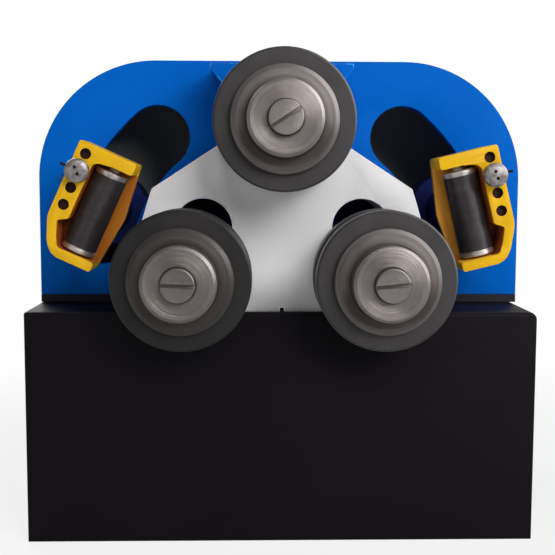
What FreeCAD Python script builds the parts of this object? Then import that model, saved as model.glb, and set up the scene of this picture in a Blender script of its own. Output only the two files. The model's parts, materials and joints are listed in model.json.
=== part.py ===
import FreeCAD, Part
import math
import os
import Sketcher

# Three-roll ring roller on a cabinet.  +X is to the right, +Y to the back and +Z up, in
# millimetres, with the origin at the middle of the cabinet's underside.

doc = FreeCAD.newDocument("ring_roller")
sheet = doc.addObject("Spreadsheet::Sheet", "Sizes")
V = FreeCAD.Vector

drivingDimensions = {
    # cabinet
    "base_width": 616, "base_depth": 430, "base_height": 282, "sheet_steel": 3, "floor_plate": 12,
    "left_bend": 3, "right_bend": 10, "post_side": 36, "rail_side": 40, "hatch_clear": 4,
    "mount_inset_x": 68, "mount_inset_y": 55, "mount_hole": 7,
    "louvre_count": 5, "louvre_length": 150, "louvre_slit": 7, "louvre_pitch": 20, "louvre_drop": 52,
    "screw_head": 6, "screw_head_high": 3, "screw_inset": 14,
    # housing of the roll arms; heights are counted from the cabinet's top, the pivot or the top roll
    "face_back": 102, "plate_thick": 20, "housing_inside": 150, "plinth_high": 10,
    "arch_over_roll": 84, "plate_corner": 150, "wrap_inset": 4,
    "cover_half": 205, "cover_drop": 15, "cover_corner": 60, "cover_deep": 118,
    "bar_radius": 15, "bar_upper_x": 70, "bar_upper_drop": 32, "bar_corner_gap": 5,
    "bar_corner_angle": 40, "bar_lower_inset": 23, "bar_lower_up": 34,
    "bolt_head": 11, "bolt_head_high": 9,
    # rolls and their arms
    "pivot_up": 32.3, "pivot_shaft": 20, "top_roll_up": 191.7, "arm_reach": 116.7,
    "arm_rest_angle": 5.95, "arm_travel_angle": 26.5, "guide_reach": 237.6, "guide_rest_angle": 21.6,
    "arm_front_gap": 8, "arm_thick": 60, "hub_radius": 45, "hub_gap": 1, "hub_clear": 2,
    "boss_radius": 46, "arm_width": 62, "barrel_radius": 50, "barrel_past": 45,
    "bush_wall": 6, "bush_long": 30, "run_clearance": 0.05,
    # one roll, the same for all three
    "roll_ahead": 80, "flange_radius": 80, "flange_thick": 25, "groove_radius": 60, "groove_wide": 25,
    "disc_chamfer": 2, "shaft_radius": 25, "shoulder_radius": 31, "thread_radius": 19, "seat_inset": 2,
    "collar_radius": 60, "collar_thick": 15, "collar_chamfer": 5, "nut_radius": 42, "nut_thick": 26,
    "nut_chamfer": 4, "shaft_proud": 10, "end_chamfer": 1, "slot_wide": 4, "slot_deep": 5,
    "top_slot_angle": 33, "left_slot_angle": -3, "right_slot_angle": 5,
    "key_wide": 12, "key_high": 8, "key_end_gap": 4,
    # motors
    "motor_side": 100, "motor_flange": 15, "motor_radius": 42, "motor_long": 92, "motor_cap": 6,
    "stub_radius": 16, "stub_long": 40, "journal_past": 2, "spigot_gap": 1,
    "port_side": 34, "port_high": 14,
    # grey nose plate in front of the arms
    "nose_inset": 5, "nose_thick": 15, "nose_bottom_half": 170, "nose_side_up": 66.7,
    "nose_low_x": 159.5, "nose_low_up": 101.7, "nose_corner_x": 155.3, "nose_corner_up": 114.7,
    "nose_neck_x": 60, "nose_neck_drop": 14.7, "nose_head_up": 30, "nose_head_x": 42, "nose_tip_up": 48,
    "nose_notch": 5, "nose_bar": 8, "nose_bar_x": 150, "nose_bar_up": 19,
    "nose_centre_bar": 12, "nose_centre_bar_drop": 86,
    # openings that the shafts and guides travel in
    "shaft_slot": 34.5, "shaft_slot_top_angle": 36.1, "slot_below_rest_angle": 1.5, "guide_slot": 40.5,
    "guide_slot_top_angle": 49, "guide_slot_low_angle": 14, "motor_slot": 48, "motor_slot_spare_angle": 1,
    # blue block behind the top roll
    "block_top_up": 72, "block_half": 86, "block_edge_up": 65, "block_neck_half": 62,
    "block_neck_up": 37, "block_low_drop": 44,
    # lifting rams
    "ram_x": 180, "ram_radius": 35, "ram_bore": 25, "ram_wall_end": 12, "ram_fork_gap": 22,
    "ram_rod": 16, "gland_radius": 27, "gland_high": 10, "piston_thick": 20, "piston_rest": 4,
    "ram_pin": 10, "ram_slot_clearance": 1.2, "lug_thick": 20, "lug_half": 22, "lug_past": 32,
    "ear_thick": 12, "ear_gap": 1, "ear_radius": 18, "fork_deep": 31, "fork_floor": 14,
    # power pack
    "tank_wide": 230, "tank_deep": 150, "tank_back": 30, "tank_wall": 3, "pump_clear": 15,
    "pump_radius": 52, "pump_high": 92, "pump_x": -40, "pump_foot_high": 8, "pump_foot_lip": 6,
    "valve_wide": 60, "valve_deep": 70, "valve_high": 45, "valve_x": 65,
    # guide brackets
    "left_tilt_angle": 24.4, "right_tilt_angle": 13.8, "bracket_ahead": 35, "bracket_deep": 58,
    "bracket_back": 9, "bracket_top": 71.5, "bracket_bottom": 64.5, "bracket_out": 45,
    "bracket_in": 25.5, "bulge_in": 33, "bulge_up": 4, "window_top": 57, "window_bottom": 53.5,
    "window_out": 21.5, "window_corner": 2, "arm_root": 53.5, "neck_begin": 18, "neck_top": 24,
    "neck_middle": 41, "neck_middle_in": 27, "neck_middle_out": 38, "neck_end": 52, "neck_end_out": 34,
    "foot_out": 22.5, "web_inset": 2,
    "lock_count": 4, "lock_hole": 6.2, "lock_hole_out": 33, "lock_first": 58.8, "lock_pitch": 21.2,
    # guide rollers, their stems and lock pins
    "guide_axis_back": 27, "guide_roller_radius": 20, "guide_roller_half": 52,
    "guide_axle": 8, "collar_lip": 5, "lip_groove": 1,
    "tilt_low_angle": 5, "tilt_high_angle": 25, "stem_radius": 28, "spigot_radius": 16, "index_thick": 10,
    "index_radius": 63, "index_sunk": 4, "index_gap": 0.3, "index_slot_half": 8.5,
    "index_margin_angle": 8.5, "index_rim_angle": 9,
    "pin_radius": 6, "pin_head": 14, "pin_head_high": 12, "pin_dome": 5, "pin_collar": 2,
    "pin_stand_off": 4, "pin_tail": 8, "cotter_radius": 1.6, "cotter_long": 27,
    # how far a cutting tool runs past the face that it cuts
    "tool_past": 1,
}

for row, (alias, number) in enumerate(drivingDimensions.items(), start=1):
    sheet.set(f"A{row}", alias)
    sheet.set(f"B{row}", str(number))
    sheet.setAlias(f"B{row}", alias)
doc.recompute()


class Size:
    """A number that also carries the spreadsheet expression it comes from."""

    def __init__(self, value, text):
        self.value = value
        self.text = text

    def __add__(self, other):
        other = asSize(other)
        return Size(self.value + other.value, f"({self.text} + {other.text})")

    def __sub__(self, other):
        other = asSize(other)
        return Size(self.value - other.value, f"({self.text} - ({other.text}))")

    def __mul__(self, other):
        other = asSize(other)
        return Size(self.value * other.value, f"({self.text} * ({other.text}))")

    def __truediv__(self, other):
        other = asSize(other)
        return Size(self.value / other.value, f"({self.text} / ({other.text}))")

    def __neg__(self):
        return self * -1

    def __radd__(self, other):
        return asSize(other) + self

    def __rsub__(self, other):
        return asSize(other) - self

    def __rmul__(self, other):
        return asSize(other) * self


def asSize(number):
    return number if isinstance(number, Size) else Size(float(number), repr(float(number)))


def sine(angle):
    return Size(math.sin(math.radians(angle.value)), f"sin({angle.text})")


def cosine(angle):
    return Size(math.cos(math.radians(angle.value)), f"cos({angle.text})")


def tangent(angle):
    return Size(math.tan(math.radians(angle.value)), f"tan({angle.text})")


class Dimensions:
    """Each driving dimension as an attribute, such as d.base_width."""

    def __init__(self):
        for alias, number in drivingDimensions.items():
            setattr(self, alias, Size(float(number), "Sizes." + alias))


d = Dimensions()
nodes = {}
zero = asSize(0)
halfTurn = 180
past = d.tool_past


def bind(thing, prop, size):
    """Ties one property of a document object to the spreadsheet."""
    thing.setExpression(prop, asSize(size).text)


def putAt(thing, x=0, y=0, z=0, axis=None, angle=None):
    """Sets an object's place from sizes, turned about an axis through that place."""
    turn = FreeCAD.Rotation()
    if axis is not None:
        turn = FreeCAD.Rotation(V(*axis), asSize(angle).value)
    base = V(asSize(x).value, asSize(y).value, asSize(z).value)
    thing.Placement = FreeCAD.Placement(base, turn)
    for letter, size in (("x", x), ("y", y), ("z", z)):
        bind(thing, f"Placement.Base.{letter}", size)
    if isinstance(angle, Size):
        bind(thing, "Placement.Rotation.Angle", angle)


def node(name, thing):
    """Marks a finished sub-part: its label names its file."""
    thing.Label = name
    nodes[name] = thing
    return thing


# ---- solids from primitives ----

def box(label, x0, x1, y0, y1, z0, z1):
    """A box between two corners."""
    block = doc.addObject("Part::Box", label)
    x0, x1, y0, y1, z0, z1 = (asSize(number) for number in (x0, x1, y0, y1, z0, z1))
    bind(block, "Length", x1 - x0)
    bind(block, "Width", y1 - y0)
    bind(block, "Height", z1 - z0)
    putAt(block, x0, y0, z0)
    return block


def rodY(label, radius, x, z, y0, y1):
    """A round bar that runs along Y from y0 to y1."""
    bar = doc.addObject("Part::Cylinder", label)
    bind(bar, "Radius", radius)
    bind(bar, "Height", asSize(y1) - y0)
    putAt(bar, x, y0, z, (1, 0, 0), -90)
    return bar


def ringSector(label, x, z, inner, outer, y0, y1, low, high, side):
    """Part of a ring about (x, z), from a low to a high angle above level on one side."""
    sector = rodY(label + "_sector", outer, x, z, y0, y1)
    bind(sector, "Angle", high - low)
    start = -high if side > 0 else low - halfTurn
    sector.Placement = FreeCAD.Placement(sector.Placement.Base, FreeCAD.Rotation(V(0, 1, 0), start.value)
                                         * FreeCAD.Rotation(V(1, 0, 0), -90))
    hollow = rodY(label + "_hollow", inner, x, z, y0 - past, y1 + past)
    ring = doc.addObject("Part::Cut", label)
    ring.Base = sector
    ring.Tool = hollow
    return ring


def rodZ(label, radius, x, y, z0, z1):
    """A round bar that runs along Z from z0 to z1."""
    bar = doc.addObject("Part::Cylinder", label)
    bind(bar, "Radius", radius)
    bind(bar, "Height", asSize(z1) - z0)
    putAt(bar, x, y, z0)
    return bar


def fuse(label, pieces):
    joined = doc.addObject("Part::MultiFuse", label)
    joined.Shapes = pieces
    joined.Refine = True
    return joined


def cut(label, base, tools):
    """Takes one or more tools out of a base."""
    if len(tools) == 1:
        tool = tools[0]
    else:
        tool = doc.addObject("Part::MultiFuse", label + "_tools")
        tool.Shapes = tools
    result = doc.addObject("Part::Cut", label)
    result.Base = base
    result.Tool = tool
    return result


def group(label, pieces):
    """Several separate solids that share one node."""
    together = doc.addObject("Part::Compound", label)
    together.Links = pieces
    return together


def turnedBar(label, length, width, y0, y1, x, z, side, angle):
    """A flat bar from (x, z) outwards on one side, raised by an angle above level."""
    bar = doc.addObject("Part::Box", label)
    bind(bar, "Length", length)
    bind(bar, "Width", asSize(y1) - y0)
    bind(bar, "Height", width)
    turn = -angle if side > 0 else angle + halfTurn
    bar.Placement = FreeCAD.Placement(V(), FreeCAD.Rotation(V(0, 1, 0), turn.value))
    half = width / 2
    bind(bar, "Placement.Rotation.Angle", turn)
    bind(bar, "Placement.Base.x", x + half * sine(angle))
    bind(bar, "Placement.Base.y", y0)
    bind(bar, "Placement.Base.z", z + (-half if side > 0 else half) * cosine(angle))
    return bar


def arcSlot(label, side, reach, half, low, high, y0, y1, openBelow=None):
    """A curved slot about the arm pivot, from a low to a high angle on one side."""
    ring = ringSector(label + "_ring", zero, pivotZ, reach - half, reach + half, y0, y1, low, high, side)
    pieces = [ring]
    for end, angle in (("low", low), ("high", high)):
        x = reach * cosine(angle) * side
        z = pivotZ + reach * sine(angle)
        pieces.append(rodY(f"{label}_{end}", half, x, z, y0, y1))
    if openBelow is not None:
        x = reach * cosine(low) * side
        z = pivotZ + reach * sine(low)
        pieces.append(box(label + "_mouth", x - half, x + half, y0, y1, openBelow - past, z))
    return fuse(label, pieces)


# ---- solids from sketches ----

def sketchOn(body, role, label):
    plane = [feature for feature in body.Origin.OriginFeatures if feature.Role == role][0]
    sketch = body.newObject("Sketcher::SketchObject", label)
    sketch.AttachmentSupport = [(plane, "")]
    sketch.MapMode = "FlatFace"
    return sketch


def arcThrough(start, end, radius):
    """The short arc between two points; a negative radius bends it the other way."""
    middle = (start + end) * 0.5
    half = (end - start).Length / 2
    across = V(-(end - start).y, (end - start).x, 0).normalize()
    rise = math.sqrt(max(radius * radius - half * half, 0.0))
    bend = 1 if radius > 0 else -1
    centre = middle + across * (rise * bend)
    top = centre - across * (abs(radius) * bend)
    return Part.Arc(start, top, end)


def outline(sketch, points):
    """A closed loop.  Each point is (x, y) or (x, y, radius of the arc to the next point)."""
    places = [V(asSize(point[0]).value, asSize(point[1]).value, 0) for point in points]
    count = len(points)
    starts = []
    ends = []
    for index, point in enumerate(points):
        start = places[index]
        end = places[(index + 1) % count]
        if len(point) == 3:
            arc = arcThrough(start, end, asSize(point[2]).value)
            number = sketch.addGeometry(arc)
            forward = sketch.getPoint(number, 1).distanceToPoint(start) < (end - start).Length / 2
            radius = point[2] if asSize(point[2]).value > 0 else -asSize(point[2])
            limit = sketch.addConstraint(Sketcher.Constraint("Radius", number, asSize(radius).value))
            sketch.setExpression(f"Constraints[{limit}]", asSize(radius).text)
        else:
            number = sketch.addGeometry(Part.LineSegment(start, end))
            forward = True
        starts.append((number, 1 if forward else 2))
        ends.append((number, 2 if forward else 1))
    for index, point in enumerate(points):
        here = starts[index]
        before = ends[index - 1]
        sketch.addConstraint(Sketcher.Constraint("Coincident", before[0], before[1], here[0], here[1]))
        for kind, size in (("DistanceX", point[0]), ("DistanceY", point[1])):
            size = asSize(size)
            number = sketch.addConstraint(Sketcher.Constraint(kind, -1, 1, here[0], here[1], size.value))
            sketch.setExpression(f"Constraints[{number}]", size.text)


def circle(sketch, x, y, radius):
    x, y, radius = asSize(x), asSize(y), asSize(radius)
    number = sketch.addGeometry(Part.Circle(V(x.value, y.value, 0), V(0, 0, 1), radius.value))
    for kind, size in (("DistanceX", x), ("DistanceY", y)):
        limit = sketch.addConstraint(Sketcher.Constraint(kind, -1, 1, number, 3, size.value))
        sketch.setExpression(f"Constraints[{limit}]", size.text)
    limit = sketch.addConstraint(Sketcher.Constraint("Radius", number, radius.value))
    sketch.setExpression(f"Constraints[{limit}]", radius.text)


def standing(label, points, y0, y1, holes=()):
    """A plate that stands in X and Z, between the depths y0 and y1."""
    body = doc.addObject("PartDesign::Body", label)
    sketch = sketchOn(body, "XZ_Plane", label + "_outline")
    bind(sketch, ".AttachmentOffset.Base.z", -asSize(y1))
    outline(sketch, points)
    for x, z, radius in holes:
        circle(sketch, x, z, radius)
    pad = body.newObject("PartDesign::Pad", label + "_pad")
    pad.Profile = sketch
    bind(pad, "Length", asSize(y1) - y0)
    return body


def lying(label, points, z0, z1, holes=()):
    """A plate that lies in X and Y, between the heights z0 and z1."""
    body = doc.addObject("PartDesign::Body", label)
    sketch = sketchOn(body, "XY_Plane", label + "_outline")
    bind(sketch, ".AttachmentOffset.Base.z", z0)
    outline(sketch, points)
    for x, y, radius in holes:
        circle(sketch, x, y, radius)
    pad = body.newObject("PartDesign::Pad", label + "_pad")
    pad.Profile = sketch
    bind(pad, "Length", asSize(z1) - z0)
    return body


def pocket(body, label, points, y0, y1, holes=()):
    """Cuts an outline or holes through a standing plate, from y0 back to y1."""
    sketch = sketchOn(body, "XZ_Plane", label + "_outline")
    bind(sketch, ".AttachmentOffset.Base.z", -asSize(y0))
    if points:
        outline(sketch, points)
    for x, z, radius in holes:
        circle(sketch, x, z, radius)
    removed = body.newObject("PartDesign::Pocket", label)
    removed.Profile = sketch
    bind(removed, "Length", asSize(y1) - y0)
    return removed


def turned(label, profile, x, z, y=0):
    """A body turned about Y: the profile is (radius, distance along Y) pairs."""
    body = doc.addObject("PartDesign::Body", label)
    sketch = sketchOn(body, "XY_Plane", label + "_profile")
    outline(sketch, profile)
    turn = body.newObject("PartDesign::Revolution", label + "_turn")
    turn.Profile = sketch
    turn.ReferenceAxis = (sketch, ["V_Axis"])
    turn.Angle = 2 * halfTurn
    putAt(body, x, y, z)
    return body


def rectangle(x0, x1, y0, y1):
    return [(x0, y0), (x1, y0), (x1, y1), (x0, y1)]


def arch(half, bottom, top, corner):
    """A plate outline with two large round upper corners."""
    return [(-half, bottom), (half, bottom), (half, top - corner, corner),
            (half - corner, top), (-half + corner, top, corner), (-half, top - corner)]


# ---- places that several pieces share ----

cabinetHalf = d.base_width / 2
cabinetFront = -d.base_depth / 2
cabinetBack = d.base_depth / 2
cabinetTop = d.base_height
plinthTop = cabinetTop + d.plinth_high
pivotZ = cabinetTop + d.pivot_up
topRollZ = pivotZ + d.top_roll_up
plateTop = topRollZ + d.arch_over_roll
plateHalf = cabinetHalf
frontFace = cabinetFront + d.face_back
plateBack = frontFace + d.plate_thick
rearFace = plateBack + d.housing_inside
rearBack = rearFace + d.plate_thick
coverBack = rearBack + d.cover_deep
armFront = plateBack + d.arm_front_gap
armBack = armFront + d.arm_thick
armMiddle = (armFront + armBack) / 2
barrelBack = armBack + d.barrel_past
noseFront = cabinetFront + d.nose_inset
noseBack = noseFront + d.nose_thick
rollFront = noseFront - d.roll_ahead
rollBack = rollFront + d.flange_thick * 2 + d.groove_wide
shaftEnd = rollFront - d.collar_thick - d.nut_thick - d.shaft_proud
bracketFront = noseFront - d.bracket_ahead
bracketBack = bracketFront + d.bracket_deep
slotLow = d.arm_rest_angle - d.slot_below_rest_angle
slotAngles = {0: d.top_slot_angle, -1: d.left_slot_angle, 1: d.right_slot_angle}


def rollPlace(side):
    """Axis of a roll: side 0 is the fixed top one, -1 and +1 the swinging lower ones."""
    if side == 0:
        return zero, topRollZ
    angle = d.arm_rest_angle
    return side * d.arm_reach * cosine(angle), pivotZ + d.arm_reach * sine(angle)


def guidePlace(side):
    angle = d.guide_rest_angle
    return side * d.guide_reach * cosine(angle), pivotZ + d.guide_reach * sine(angle)


# ---- cabinet ----

def makeCabinet():
    inner = cabinetHalf - d.sheet_steel
    mountHoles = [(sx * (cabinetHalf - d.mount_inset_x), sy * (cabinetBack - d.mount_inset_y), d.mount_hole)
                  for sx in (-1, 1) for sy in (-1, 1)]
    floorEdge = rectangle(-inner, inner, cabinetFront + d.sheet_steel, cabinetBack - d.sheet_steel)
    node("base_floor", lying("floor", floorEdge, 0, d.floor_plate, mountHoles))

    # inverted U of sheet: two sides and the shelf, bent more widely on the right
    front = cabinetFront + d.sheet_steel
    back = cabinetBack - d.sheet_steel
    top = cabinetTop
    wall = d.sheet_steel
    left = d.left_bend
    right = d.right_bend
    shell = [(-cabinetHalf, 0), (-inner, 0), (-inner, top - wall), (inner - right + wall, top - wall,
             -(right - wall)), (inner, top - right), (inner, 0), (cabinetHalf, 0),
             (cabinetHalf, top - right, right), (cabinetHalf - right, top),
             (-cabinetHalf + left, top, left), (-cabinetHalf, top - left)]
    cover = standing("cover_sheet", shell, front, back)
    hatch = box("cover_hatch", -d.guide_reach, d.guide_reach, armFront - d.hatch_clear,
                barrelBack + d.motor_flange + d.hatch_clear, top - wall - past, top + past)
    node("base_cover", cut("cover_cut", cover, [hatch]))

    def endPanel(label, y0, y1):
        edge = [(-cabinetHalf, 0), (cabinetHalf, 0), (cabinetHalf, top - right, right),
                (cabinetHalf - right, top), (-cabinetHalf + left, top, left), (-cabinetHalf, top - left)]
        return standing(label, edge, y0, y1)

    node("base_front_panel", endPanel("front_sheet", cabinetFront, front))
    rear = endPanel("rear_sheet", back, cabinetBack)
    slits = []
    for column in (-1, 1):
        middle = column * d.base_width / 4
        for line in range(int(d.louvre_count.value)):
            low = top - d.louvre_drop - d.louvre_pitch * line
            slits.append(box("louvre", middle - d.louvre_length / 2, middle + d.louvre_length / 2,
                             back - past, cabinetBack + past, low, low + d.louvre_slit))
    node("base_rear_panel", cut("rear_cut", rear, slits))

    # welded frame: four posts, front and rear cross rails, two side rails
    side = d.post_side
    rail = d.rail_side
    ceiling = top - wall
    frameHalf = inner - right
    pieces = []
    for sx in (-1, 1):
        post = frameHalf * sx
        x0, x1 = (post - side, post) if sx > 0 else (post, post + side)
        pieces.append(box("post", x0, x1, front, front + side, d.floor_plate, ceiling))
        pieces.append(box("post", x0, x1, back - side, back, d.floor_plate, ceiling))
        pieces.append(box("side_rail", x0, x1, front, back, ceiling - rail, ceiling))
    for label, y in (("front_rail", armFront - d.hatch_clear - rail),
                     ("rear_rail", rearFace + (d.plate_thick - rail) / 2)):
        pieces.append(box(label, -frameHalf, frameHalf, y, y + rail, ceiling - rail, ceiling))
    node("base_frame", fuse("frame_weld", pieces))

    node("front_plinth", box("plinth_bar", -plateHalf, plateHalf, frontFace, plateBack, top, plinthTop))

    screws = []
    for sx in (-1, 1):
        for z in (d.screw_inset * 2, top - d.screw_inset * 2):
            x = sx * (cabinetHalf - d.screw_inset)
            screws.append(rodY("screw", d.screw_head, x, z, cabinetBack, cabinetBack + d.screw_head_high))
    node("panel_screws", group("screws", screws))


# ---- housing of the arms ----

def makeHousing():
    bore = d.shoulder_radius + d.run_clearance + d.bush_wall
    front = standing("front_blank", arch(plateHalf, plinthTop, plateTop, d.plate_corner), frontFace,
                     plateBack, [(0, topRollZ, bore)])
    tools = [rodY("front_pivot_hole", d.pivot_shaft, 0, pivotZ, frontFace - past, plateBack + past)]
    for side in (-1, 1):
        tools.append(arcSlot("guide_slot", side, d.guide_reach, d.guide_slot, d.guide_slot_low_angle,
                             d.guide_slot_top_angle, frontFace - past, plateBack + past))
        tools.append(arcSlot("shaft_slot", side, d.arm_reach, d.shaft_slot, slotLow, d.shaft_slot_top_angle,
                             frontFace - past, plateBack + past, plinthTop))
    node("front_plate", cut("front_cut", front, tools))

    bore = d.shaft_radius + d.run_clearance + d.bush_wall
    rear = standing("rear_blank", arch(plateHalf, cabinetTop, plateTop, d.plate_corner), rearFace, rearBack,
                    [(0, topRollZ, bore)])
    slotHigh = d.arm_rest_angle + d.arm_travel_angle + d.motor_slot_spare_angle
    tools = [arcSlot("motor_slot", side, d.arm_reach, d.motor_slot, slotLow, slotHigh, rearFace - past,
                     rearBack + past, cabinetTop) for side in (-1, 1)]
    tools.append(rodY("rear_pivot_hole", d.pivot_shaft, 0, pivotZ, rearFace - past, rearBack + past))
    node("rear_plate", cut("rear_plate_cut", rear, tools))

    # blue sheet wrapped over the arch between the two plates
    wall = d.sheet_steel
    outer = plateHalf - d.wrap_inset
    inner = outer - wall
    top = plateTop - d.wrap_inset
    bend = d.plate_corner - d.wrap_inset
    inside = bend - wall
    wrap = [(-outer, cabinetTop), (-inner, cabinetTop), (-inner, top - bend, -inside),
            (-inner + inside, top - wall), (inner - inside, top - wall, -inside),
            (inner, top - bend), (inner, cabinetTop), (outer, cabinetTop),
            (outer, top - bend, bend), (outer - bend, top), (-outer + bend, top, bend), (-outer, top - bend)]
    node("casing_wrap", standing("wrap_sheet", wrap, plateBack, rearFace))

    # box-shaped guard over the motors, open to the front
    high = plateTop - d.cover_drop
    skin = standing("guard_skin", arch(d.cover_half, cabinetTop, high, d.cover_corner), rearBack, coverBack)
    pocket(skin, "guard_hollow", arch(d.cover_half - wall, cabinetTop - wall, high - wall,
                                      d.cover_corner - wall), rearBack, coverBack - wall)
    slits = []
    for line in range(int(d.louvre_count.value)):
        low = topRollZ - d.louvre_pitch * line
        slits.append(box("guard_louvre", -d.louvre_length / 2, d.louvre_length / 2,
                         coverBack - wall - past, coverBack + past, low, low + d.louvre_slit))
    node("rear_cover", cut("guard_cut", skin, slits))

    # tie bars between the plates; the outer ones are held by bolts that the guard leaves free
    reach = inside - d.bar_radius - d.bar_corner_gap
    cornerX = plateHalf - d.plate_corner + reach * cosine(d.bar_corner_angle)
    cornerZ = plateTop - d.plate_corner + reach * sine(d.bar_corner_angle)
    bars = []
    bolts = []
    for side in (-1, 1):
        upper = (side * d.bar_upper_x, plateTop - d.bar_upper_drop)
        corner = (side * cornerX, cornerZ)
        lower = (side * (plateHalf - d.bar_lower_inset), cabinetTop + d.bar_lower_up)
        bars += [rodY("tie_bar", d.bar_radius, x, z, plateBack, rearFace) for x, z in (upper, corner, lower)]
        bolts += [rodY("tie_bolt", d.bolt_head, x, z, rearBack, rearBack + d.bolt_head_high)
                  for x, z in (corner, lower)]
    node("spacer_bars", group("tie_bars", bars))
    node("frame_bolts", group("tie_bolts", bolts))

    node("fulcrum_shaft", rodY("pivot_bar", d.pivot_shaft, 0, pivotZ, noseBack, rearBack))


def makeNose():
    """The pale nose plate, its bars and the blue block that holds the top roll's front bush."""
    right = [(d.nose_bottom_half, cabinetTop), (d.nose_bottom_half, pivotZ + d.nose_side_up),
             (d.nose_low_x, pivotZ + d.nose_low_up), (d.nose_corner_x, pivotZ + d.nose_corner_up),
             (d.nose_neck_x, topRollZ - d.nose_neck_drop), (d.nose_neck_x, topRollZ + d.nose_head_up),
             (d.nose_head_x, topRollZ + d.nose_tip_up)]
    left = [(-x, z) for x, z in reversed(right)]
    notch = d.nose_notch / 2
    notchTop = cabinetTop + d.nose_notch
    edge = [(notch, cabinetTop)] + right + left
    edge += [(-notch, cabinetTop), (-notch, notchTop), (notch, notchTop)]
    bore = d.shoulder_radius + d.run_clearance + d.bush_wall
    blank = standing("nose_blank", edge, noseFront, noseBack, [(0, topRollZ, bore)])
    slots = [arcSlot("nose_slot", side, d.arm_reach, d.shaft_slot, slotLow, d.shaft_slot_top_angle,
                     noseFront - past, noseBack + past) for side in (-1, 1)]
    node("nose_plate", cut("nose_cut", blank, slots))

    bars = [rodY("nose_bar", d.nose_bar, side * d.nose_bar_x, cabinetTop + d.nose_bar_up, noseBack,
                 frontFace) for side in (-1, 1)]
    bars.append(rodY("nose_bar", d.nose_centre_bar, 0, topRollZ - d.nose_centre_bar_drop, noseBack,
                     frontFace))
    node("nose_spacers", group("nose_bars", bars))

    low = topRollZ - d.block_low_drop
    neck = topRollZ + d.block_neck_up
    corner = topRollZ + d.block_edge_up
    high = topRollZ + d.block_top_up
    block = [(-d.block_neck_half, low), (d.block_neck_half, low), (d.block_neck_half, neck),
             (d.block_half, corner), (d.block_half, high), (-d.block_half, high), (-d.block_half, corner),
             (-d.block_neck_half, neck)]
    node("top_bearing_housing", standing("bearing_block", block, noseBack, frontFace,
                                         [(0, topRollZ, bore)]))


# ---- rolls ----

def ringProfile(bore, radius, y0, y1, chamfer):
    return [(bore, y0), (radius - chamfer, y0), (radius, y0 + chamfer), (radius, y1 - chamfer),
            (radius - chamfer, y1), (bore, y1)]


def makeRoll(name, side, shoulderBack, journalBack):
    """Shaft with its key, two flanges, groove disc, clamping collar and round nut."""
    x, z = rollPlace(side)
    front = rollFront
    grooveFront = front + d.flange_thick
    grooveBack = grooveFront + d.groove_wide
    seat = front + d.seat_inset
    thread = d.thread_radius
    bevel = d.end_chamfer
    shaft = [(0, shaftEnd), (thread - bevel, shaftEnd), (thread, shaftEnd + bevel), (thread, seat),
             (d.shaft_radius, seat), (d.shaft_radius, rollBack), (d.shoulder_radius, rollBack),
             (d.shoulder_radius, shoulderBack), (d.shaft_radius, shoulderBack),
             (d.shaft_radius, journalBack), (d.stub_radius, journalBack),
             (d.stub_radius, journalBack + d.stub_long), (0, journalBack + d.stub_long)]
    bar = turned(name + "_bar", shaft, x, z)
    turn = slotAngles[side]
    slot = turnedBar(name + "_slot", d.shaft_radius * 2, d.slot_wide, shaftEnd - past, shaftEnd + d.slot_deep,
                     x - d.shaft_radius * cosine(turn), z - d.shaft_radius * sine(turn), 1, turn)
    keyLow = z + d.shaft_radius - d.key_high / 2
    keyBack = rollBack - d.key_end_gap
    keyway = box(name + "_keyway", x - d.key_wide / 2, x + d.key_wide / 2, seat - past, keyBack, keyLow,
                 z + d.shaft_radius + past)
    node(name + "_shaft", cut(name + "_shaft_cut", bar, [slot, keyway]))
    keyTop = keyLow + d.key_high
    node(name + "_key", box(name + "_key_bar", x - d.key_wide / 2, x + d.key_wide / 2, seat, keyBack,
                            keyLow, keyTop))

    def keyed(label, disc, y0, y1):
        groove = box(label + "_groove", x - d.key_wide / 2, x + d.key_wide / 2, y0 - past, y1 + past, z,
                     keyTop)
        return cut(label, disc, [groove])

    flanges = []
    for y0 in (front, grooveBack):
        y1 = y0 + d.flange_thick
        profile = ringProfile(d.shaft_radius, d.flange_radius, y0, y1, d.disc_chamfer)
        disc = turned("flange", profile, x, z)
        flanges.append(keyed("flange_cut", disc, y0, y1))
    node(name + "_flanges", group(name + "_flange_pair", flanges))
    disc = turned("groove", [(d.shaft_radius, grooveFront), (d.groove_radius, grooveFront),
                             (d.groove_radius, grooveBack), (d.shaft_radius, grooveBack)], x, z)
    node(name + "_groove_disc", keyed(name + "_groove_cut", disc, grooveFront, grooveBack))

    collarFront = front - d.collar_thick
    collar = [(thread, collarFront), (d.collar_radius - d.collar_chamfer, collarFront),
              (d.collar_radius, collarFront + d.collar_chamfer), (d.collar_radius, front), (thread, front)]
    node(name + "_collar", turned(name + "_collar_ring", collar, x, z))
    nutFront = collarFront - d.nut_thick
    nut = [(thread, nutFront), (d.nut_radius - d.nut_chamfer, nutFront),
           (d.nut_radius, nutFront + d.nut_chamfer), (d.nut_radius, collarFront), (thread, collarFront)]
    node(name + "_nut", turned(name + "_nut_ring", nut, x, z))


def makeMotor(name, x, z, y0, stubFrom):
    """Hydraulic motor: square flange, round body and a port block, bored for the shaft's stub."""
    half = d.motor_side / 2
    flangeBack = y0 + d.motor_flange
    back = flangeBack + d.motor_long
    pieces = [box(name + "_flange", x - half, x + half, y0, flangeBack, z - half, z + half),
              rodY(name + "_can", d.motor_radius, x, z, flangeBack, back)]
    block = d.port_side / 2
    mid = back - block - d.motor_cap
    pieces.append(box(name + "_ports", x - block, x + block, mid - block, mid + block, z,
                      z + d.motor_radius + d.port_high))
    bore = rodY(name + "_bore", d.stub_radius + d.run_clearance, x, z, y0 - past,
                stubFrom + d.stub_long + d.spigot_gap)
    clear = rodY(name + "_spigot", d.shaft_radius + d.spigot_gap, x, z, y0 - past, stubFrom + d.spigot_gap)
    node(name, cut(name + "_cut", fuse(name + "_body", pieces), [bore, clear]))


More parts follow.
